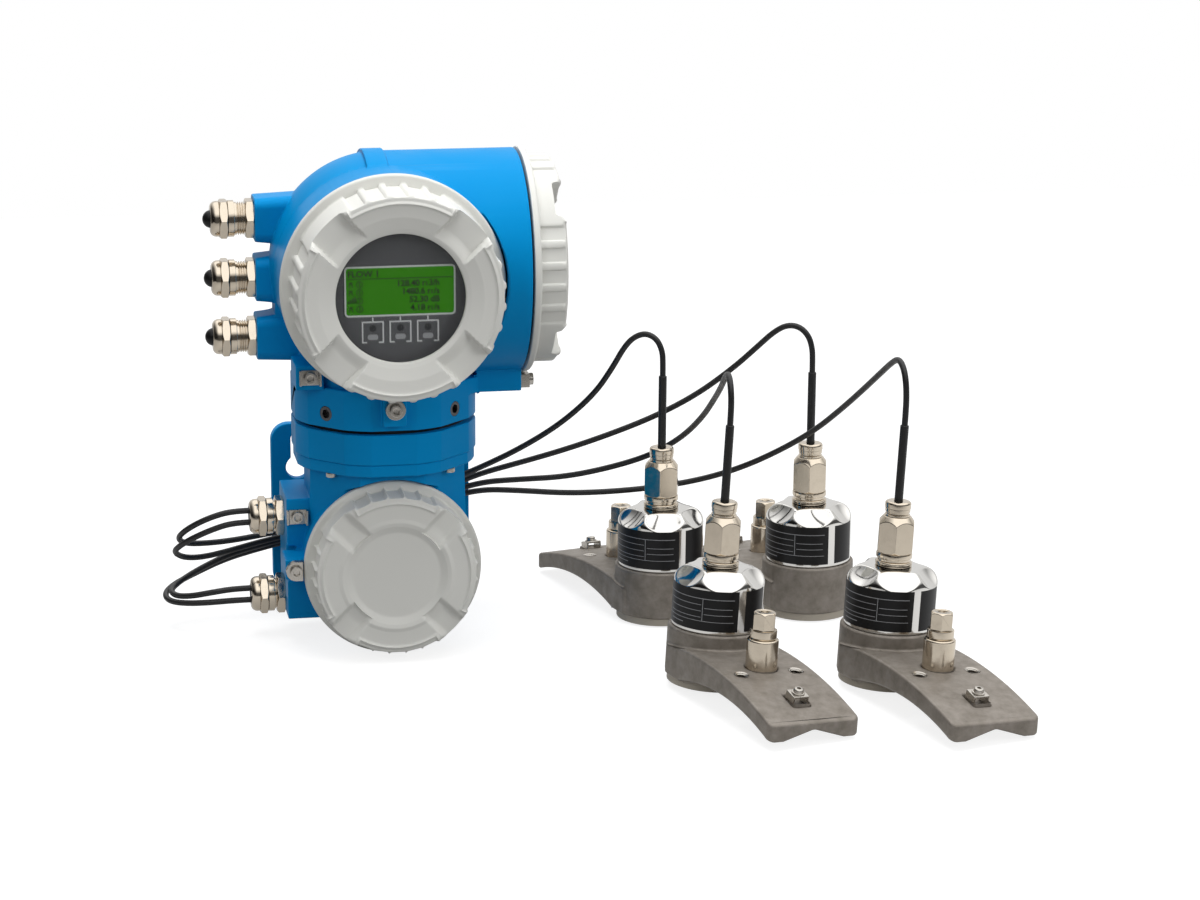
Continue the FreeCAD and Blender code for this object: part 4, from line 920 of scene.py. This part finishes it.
class FLOWMETER_OT_caps(bpy.types.Operator):
    """Turn the polished caps, press their dimples and stick on their labels"""

    bl_idname = "flowmeter.caps"
    bl_label = "Caps"

    def execute(self, context):
        chain = ring([
            (CAP_BORE, CAP_LOW, 0.3), (CAP_R, CAP_LOW, 0.7), (CAP_R, CAP_TOP, 11), (CAP_HOLE, CAP_TOP, 0.4),
            (CAP_HOLE, CAP_TOP - 10, 0.2), (CAP_BORE, CAP_TOP - 10, 0.5)], 16)
        model = turned(spread(chain, CAP_GAP, CAP_TOP - 20, 9.5), CAP_STEPS)
        press_dimples(model)
        smooth(model, 35)
        for index, place, cap in zip(SENSORS, SENSOR_PLACES, copies(model, SENSOR_PLACES)):
            body = f"cap_{index}"
            finish(cap, f"polished_cap_{index}", "mirror", body, "polished_stainless", body)
            for name, coat, sheets, proud in (
                    ("cap_label", "label", LABELS, LABEL_PROUD),
                    ("label_print", "label_ink", LABEL_RULES, RULE_PROUD)):
                made = joined([self.patch(*sheet, proud, STANDS[index][1]) for sheet in sheets])
                finish(stand(made, place), f"{name}_{index}", coat, body, "plug_plastic")
        return {"FINISHED"}

    @staticmethod
    def patch(rise, height, start, end, proud, turn):
        """A thin sheet on the cap's wall between two angles in degrees, turned against the arm."""
        low, high = LABEL_LOW + rise, LABEL_LOW + rise + height
        inner, outer = CAP_R - 0.1, CAP_R + proud
        chain = [(inner, low), (outer, low), (outer, high), (inner, high), (inner, low)]
        steps = max(3, round((end - start) / 3))
        return smooth(turned(chain, steps, math.radians(start - turn), math.radians(end - start)), 30)


# Places on a transducer's arm: distance out, across and up in mm, and fall of the arm in degrees
AXIS_AT, STUD_AT, CLIP_AT = (0, 0, 0, 0), (62, 0, 0, 0), (109, 0, 19.2, 13)
RIMS_AT = ((72, -19, 25.5, 6.4), (72, 19, 25.5, 6.4))
RIM_STEPS = 48


class FLOWMETER_OT_transducers(bpy.types.Operator):
    """Finish the holders and elements, and build their connectors, studs and earth clips"""

    bl_idname = "flowmeter.transducers"
    bl_label = "Transducers"

    def execute(self, context):
        sizes = context.scene.flow_meter
        steps = sizes.turn_steps
        for index, plug in zip(SENSORS, copies(self.connector(steps), SENSOR_PLACES)):
            dressed(f"holder_{index}", sizes.holder_edge, 4,
                    f"cast_holder_{index}", "cast", "base", "cast_stainless")
            dressed(f"sensor_element_{index}", 0.5 * MM, 2,
                    f"coupling_pad_{index}", "pad", "base", "element_face")
            finish(plug, f"connector_{index}", "nickel", "base", "nickel_brass", f"connector_body_{index}")
        nut = [(2.9, 113.2, 0.1), (8.3, 113.2, 0.4), (8.3, 117.8, 1.7), (2.9, 117.8, 0.4)]
        sleeve = [(0, 24, 0), (10, 24, 0.3), (10, 45, 1.3), (0, 45, 0)]
        rim = [(2.9, -3, 0.1), (3.45, -3, 0.1), (3.45, -0.3, 0.1), (4.7, -0.1, 0.1), (4.7, 0.3, 0.2),
               (2.9, -1, 0.3)]
        for model, places, coat, slot, *nodes in (
                (lathed(nut, steps), [AXIS_AT], "nickel", "nickel_brass", "connector_nuts"),
                (lathed(sleeve, steps), [STUD_AT], "nickel", "stainless", "strap_stud_sleeves"),
                (self.pin(steps), [STUD_AT], "nickel", "stainless", "strap_stud_pins"),
                (self.clip(), [CLIP_AT], "steel", "stainless", "sensor_earth_clips"),
                (self.screw(steps), [CLIP_AT], "steel", "stainless", "sensor_earth_screws"),
                (lathed(rim, RIM_STEPS), RIMS_AT, "steel", "stainless")):
            name = nodes[0] + "_piece" if nodes else "arm_hole_rims"
            on_arms = [sensor @ self.on_arm(*place) for sensor in SENSOR_PLACES for place in places]
            finish(joined(copies(model, on_arms)), name, coat, "base", slot, *nodes)
        dressed("cable_sleeves", 0.6 * MM, 3, "cable_sleeves_piece", "cable", "base", "cable_black")
        return {"FINISHED"}

    @staticmethod
    def on_arm(out, across, up, fall):
        """A place on the arm, leaning with its fall."""
        return placed(out, across, up, Matrix.Rotation(math.radians(fall), 4, "Y"))

    @staticmethod
    def connector(steps):
        """Stem and grooved collar, tall hexagon with a long cone, and neck."""
        stem = lathed([
            (0, 64, 0), (9, 64, 0.2), (9, 76.2, 0.1), (11.7, 76.2, 0.5), (11.7, 79, 0.9), (10.4, 79.4, 0.2),
            (10.4, 81, 0.2), (11.5, 81.3, 0.5), (11.5, 84.6, 0.8), (0, 84.6, 0)], steps)
        flats = hexagon(22, 84.3, 108.2, (10.8, 2), (8.9, 5), 0.35)
        neck = lathed([
            (0, 107.6, 0), (8, 107.6, 0.1), (8, 109.6, 0.3), (7.5, 109.8, 0.1), (7.5, 110.8, 0.1),
            (8, 111, 0.3), (8, 113.2, 0.1), (0, 113.2, 0)], steps)
        return joined([stem, flats, neck])

    @staticmethod
    def pin(steps):
        """Round shoulder and drilled hexagon on top of a stud."""
        shoulder = lathed([
            (0, 44.8, 0), (7.6, 44.8, 0.1), (7.6, 45.8, 0.1), (8.5, 46, 0.3), (8.5, 51, 0.7),
            (0, 51, 0)], steps)
        head = carved(hexagon(13.4, 50.8, 62, (7.7, 0.1), (6.3, 1.3)), prism(48, 5.6, 54, 63))
        return joined([shoulder, smooth(head)])

    @staticmethod
    def clip():
        """Saddle bent from strip, open towards the tip of the arm."""
        saddle = carved(block(10, 11, 7, placed(0, 0, 1.3)), block(12, 8.2, 6.4, placed(0, 0, 0.2)))
        return smooth(rounded_edges(saddle, 0.5 * MM))

    @staticmethod
    def screw(steps):
        """Washer and domed head with a hexagon socket."""
        head = turned(ring([
            (0, 4.8, 0), (4.1, 4.8, 0.2), (4.1, 5.6, 0.2), (3.2, 5.6, 0.1), (3.2, 8, 1.6), (0, 8, 0)]), steps)
        return smooth(carved(head, prism(6, 2.6, 6.4, 9)))


class FLOWMETER_OT_inside(bpy.types.Operator):
    """Paint the inner pieces and seals that keep their CAD shape"""

    bl_idname = "flowmeter.inside"
    bl_label = "Inside"

    def execute(self, context):
        for node, coat in (
                ("display_carrier", "module"), ("electronics_module", "module"),
                ("terminal_block", "terminals"), ("sensor_terminal_block", "terminals"),
                ("front_lid_seal", "seal"), ("terminal_lid_seal", "seal"), ("connection_lid_seal", "seal"),
                ("swivel_seal", "seal")):
            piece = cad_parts[node]
            piece.data.materials.clear()
            piece.data.materials.append(COATS[coat])
        return {"FINISHED"}


# Stage: the photograph's camera with its turns in degrees, a pale floor, and soft lamps that face the object
CAMERA_AT = (-0.24952, -2.21198, 0.63318)
CAMERA_YAW, CAMERA_PITCH, CAMERA_ROLL = 10.53, 14.04, 0.25
CAMERA_LENS, CAMERA_SENSOR, CAMERA_FAR = 99.79, 36, 50
FLOOR_AT, FLOOR_SIZE = (0.1, 0.35, -0.0278), 2.4
LAMPS_FACE = Vector((0.12, -0.13, 0.12))
LAMPS = (
    ("overhead", (0.1, -0.1, 2.0), 1.6, 37),
    ("front", (-1.3, -2.0, 1.2), 0.9, 7),
    ("side", (1.7, -1.6, 0.9), 0.9, 14),
)
# How the floor's glow in metals runs: from and to along an axis in metres, and its strengths there
FLOOR_GLOW, FLOOR_BY_Y, FLOOR_BY_X = 0.82, (-0.85, -0.3, 0.1, 0.62), (-0.5, 0.5, 0.3, 1.0)
# How the sky runs by direction: its light by height, and what metals mirror above, behind and on the right
SKY_LIGHT, SKY_ABOVE = (0.1, 0.7, 0.16, 0.5), (0.3, 0.65, 0.08, 1.5)
SKY_BEHIND, SKY_RIGHT = (0.1, 0.5, 0.08, 0.8), (-0.75, -0.3, 0.12, 1.0)


def rays(tree, coordinates):
    """Whether a ray comes from the eye, whether from a metal, and where it ends along each axis."""
    path = add(tree, "ShaderNodeLightPath", {}).outputs
    place = add(tree, "ShaderNodeTexCoord", {})
    parts = add(tree, "ShaderNodeSeparateXYZ", {"Vector": place.outputs[coordinates]})
    eye = combined(tree, "MAXIMUM", path["Is Camera Ray"], path["Is Transmission Ray"])
    return eye, path["Is Glossy Ray"], parts.outputs


def pale_board():
    """Matt white board: white to the eye but for a soft shadow, darker to metals in front and on the left."""
    made = material("matt white board", linear("#949494"), roughness=0.9, emission_color=(1, 1, 1, 1))
    tree = made.node_tree
    eye, glossy, at = rays(tree, "Object")
    run = combined(tree, "MULTIPLY", span(tree, at["Y"], *FLOOR_BY_Y), span(tree, at["X"], *FLOOR_BY_X))
    shown = combined(tree, "MAXIMUM", eye, combined(tree, "MULTIPLY", glossy, run))
    glow = combined(tree, "MULTIPLY", shown, FLOOR_GLOW)
    tree.links.new(glow, tree.nodes["Principled BSDF"].inputs["Emission Strength"])
    return made


class FLOWMETER_OT_stage(bpy.types.Operator):
    """Set up the camera, floor, lamps and world"""

    bl_idname = "flowmeter.stage"
    bl_label = "Stage"

    def execute(self, context):
        scene = context.scene
        scene.view_settings.view_transform = "Standard"
        self.camera(scene)
        bpy.ops.mesh.primitive_plane_add(size=FLOOR_SIZE)
        floor = stand(context.active_object, Matrix.Translation(FLOOR_AT))
        floor.name = "floor"
        floor.data.materials.append(pale_board())
        for name, at, size, power in LAMPS:
            light = bpy.data.lights.new(name, "AREA")
            light.size = size
            light.energy = power
            lamp = bpy.data.objects.new(name, light)
            scene.collection.objects.link(lamp)
            lamp.location = at
            lamp.visible_glossy = False
            lamp.rotation_euler = (LAMPS_FACE - Vector(at)).to_track_quat("-Z", "Y").to_euler()
        self.world(scene)
        return {"FINISHED"}

    @staticmethod
    def camera(scene):
        """Stand the camera where the photograph was taken."""
        lens = bpy.data.cameras.new("camera")
        lens.lens = CAMERA_LENS
        lens.sensor_width = CAMERA_SENSOR
        lens.clip_end = CAMERA_FAR
        made = bpy.data.objects.new("camera", lens)
        scene.collection.objects.link(made)
        turns = [Matrix.Rotation(math.radians(angle), 4, axis) for angle, axis in (
            (-CAMERA_YAW, "Z"), (90 - CAMERA_PITCH, "X"), (CAMERA_ROLL, "Z"))]
        made.matrix_world = Matrix.Translation(CAMERA_AT) @ turns[0] @ turns[1] @ turns[2]
        scene.camera = made

    @staticmethod
    def world(scene):
        """White to the eye, a soft light from above, and bright bands for metals to mirror."""
        world = bpy.data.worlds.new("studio")
        scene.world = world
        world.use_nodes = True
        tree = world.node_tree
        back = tree.nodes["Background"]
        eye, glossy, to = rays(tree, "Generated")
        light = span(tree, to["Z"], *SKY_LIGHT)
        bright = combined(tree, "MAXIMUM", span(tree, to["Z"], *SKY_ABOVE), span(tree, to["Y"], *SKY_BEHIND))
        mirrored = combined(tree, "MULTIPLY", bright, span(tree, to["X"], *SKY_RIGHT))
        shown = add(tree, "ShaderNodeMix", {0: glossy, 2: light, 3: mirrored})
        back.inputs["Color"].default_value = (1, 1, 1, 1)
        tree.links.new(combined(tree, "MAXIMUM", shown.outputs[0], eye), back.inputs["Strength"])


class FLOWMETER_PT_panel(bpy.types.Panel):
    """Lists the steps of the flow meter"""

    bl_label = "Flow meter"
    bl_idname = "FLOWMETER_PT_panel"
    bl_space_type = "VIEW_3D"
    bl_region_type = "UI"
    bl_category = "Flow meter"

    def draw(self, context):
        for step in STEPS:
            self.layout.operator(step.bl_idname)


STEPS = (
    FLOWMETER_OT_display,
    FLOWMETER_OT_glands,
    FLOWMETER_OT_hardware,
    FLOWMETER_OT_transducers,
    FLOWMETER_OT_castings,
    FLOWMETER_OT_caps,
    FLOWMETER_OT_lids,
    FLOWMETER_OT_cables,
    FLOWMETER_OT_inside,
    FLOWMETER_OT_stage,
)


def register():
    bpy.utils.register_class(FlowMeterSizes)
    bpy.types.Scene.flow_meter = PointerProperty(type=FlowMeterSizes)
    for step in STEPS:
        bpy.utils.register_class(step)
    bpy.utils.register_class(FLOWMETER_PT_panel)


def unregister():
    bpy.utils.unregister_class(FLOWMETER_PT_panel)
    for step in reversed(STEPS):
        bpy.utils.unregister_class(step)
    del bpy.types.Scene.flow_meter
    bpy.utils.unregister_class(FlowMeterSizes)


def main():
    register()
    make_coats(bpy.context.scene.flow_meter)
    bpy.ops.flowmeter.display()
    bpy.ops.flowmeter.glands()
    bpy.ops.flowmeter.hardware()
    bpy.ops.flowmeter.transducers()
    bpy.ops.flowmeter.castings()
    bpy.ops.flowmeter.caps()
    bpy.ops.flowmeter.lids()
    bpy.ops.flowmeter.cables()
    bpy.ops.flowmeter.inside()
    bpy.ops.flowmeter.stage()


if __name__ == "__main__":
    main()
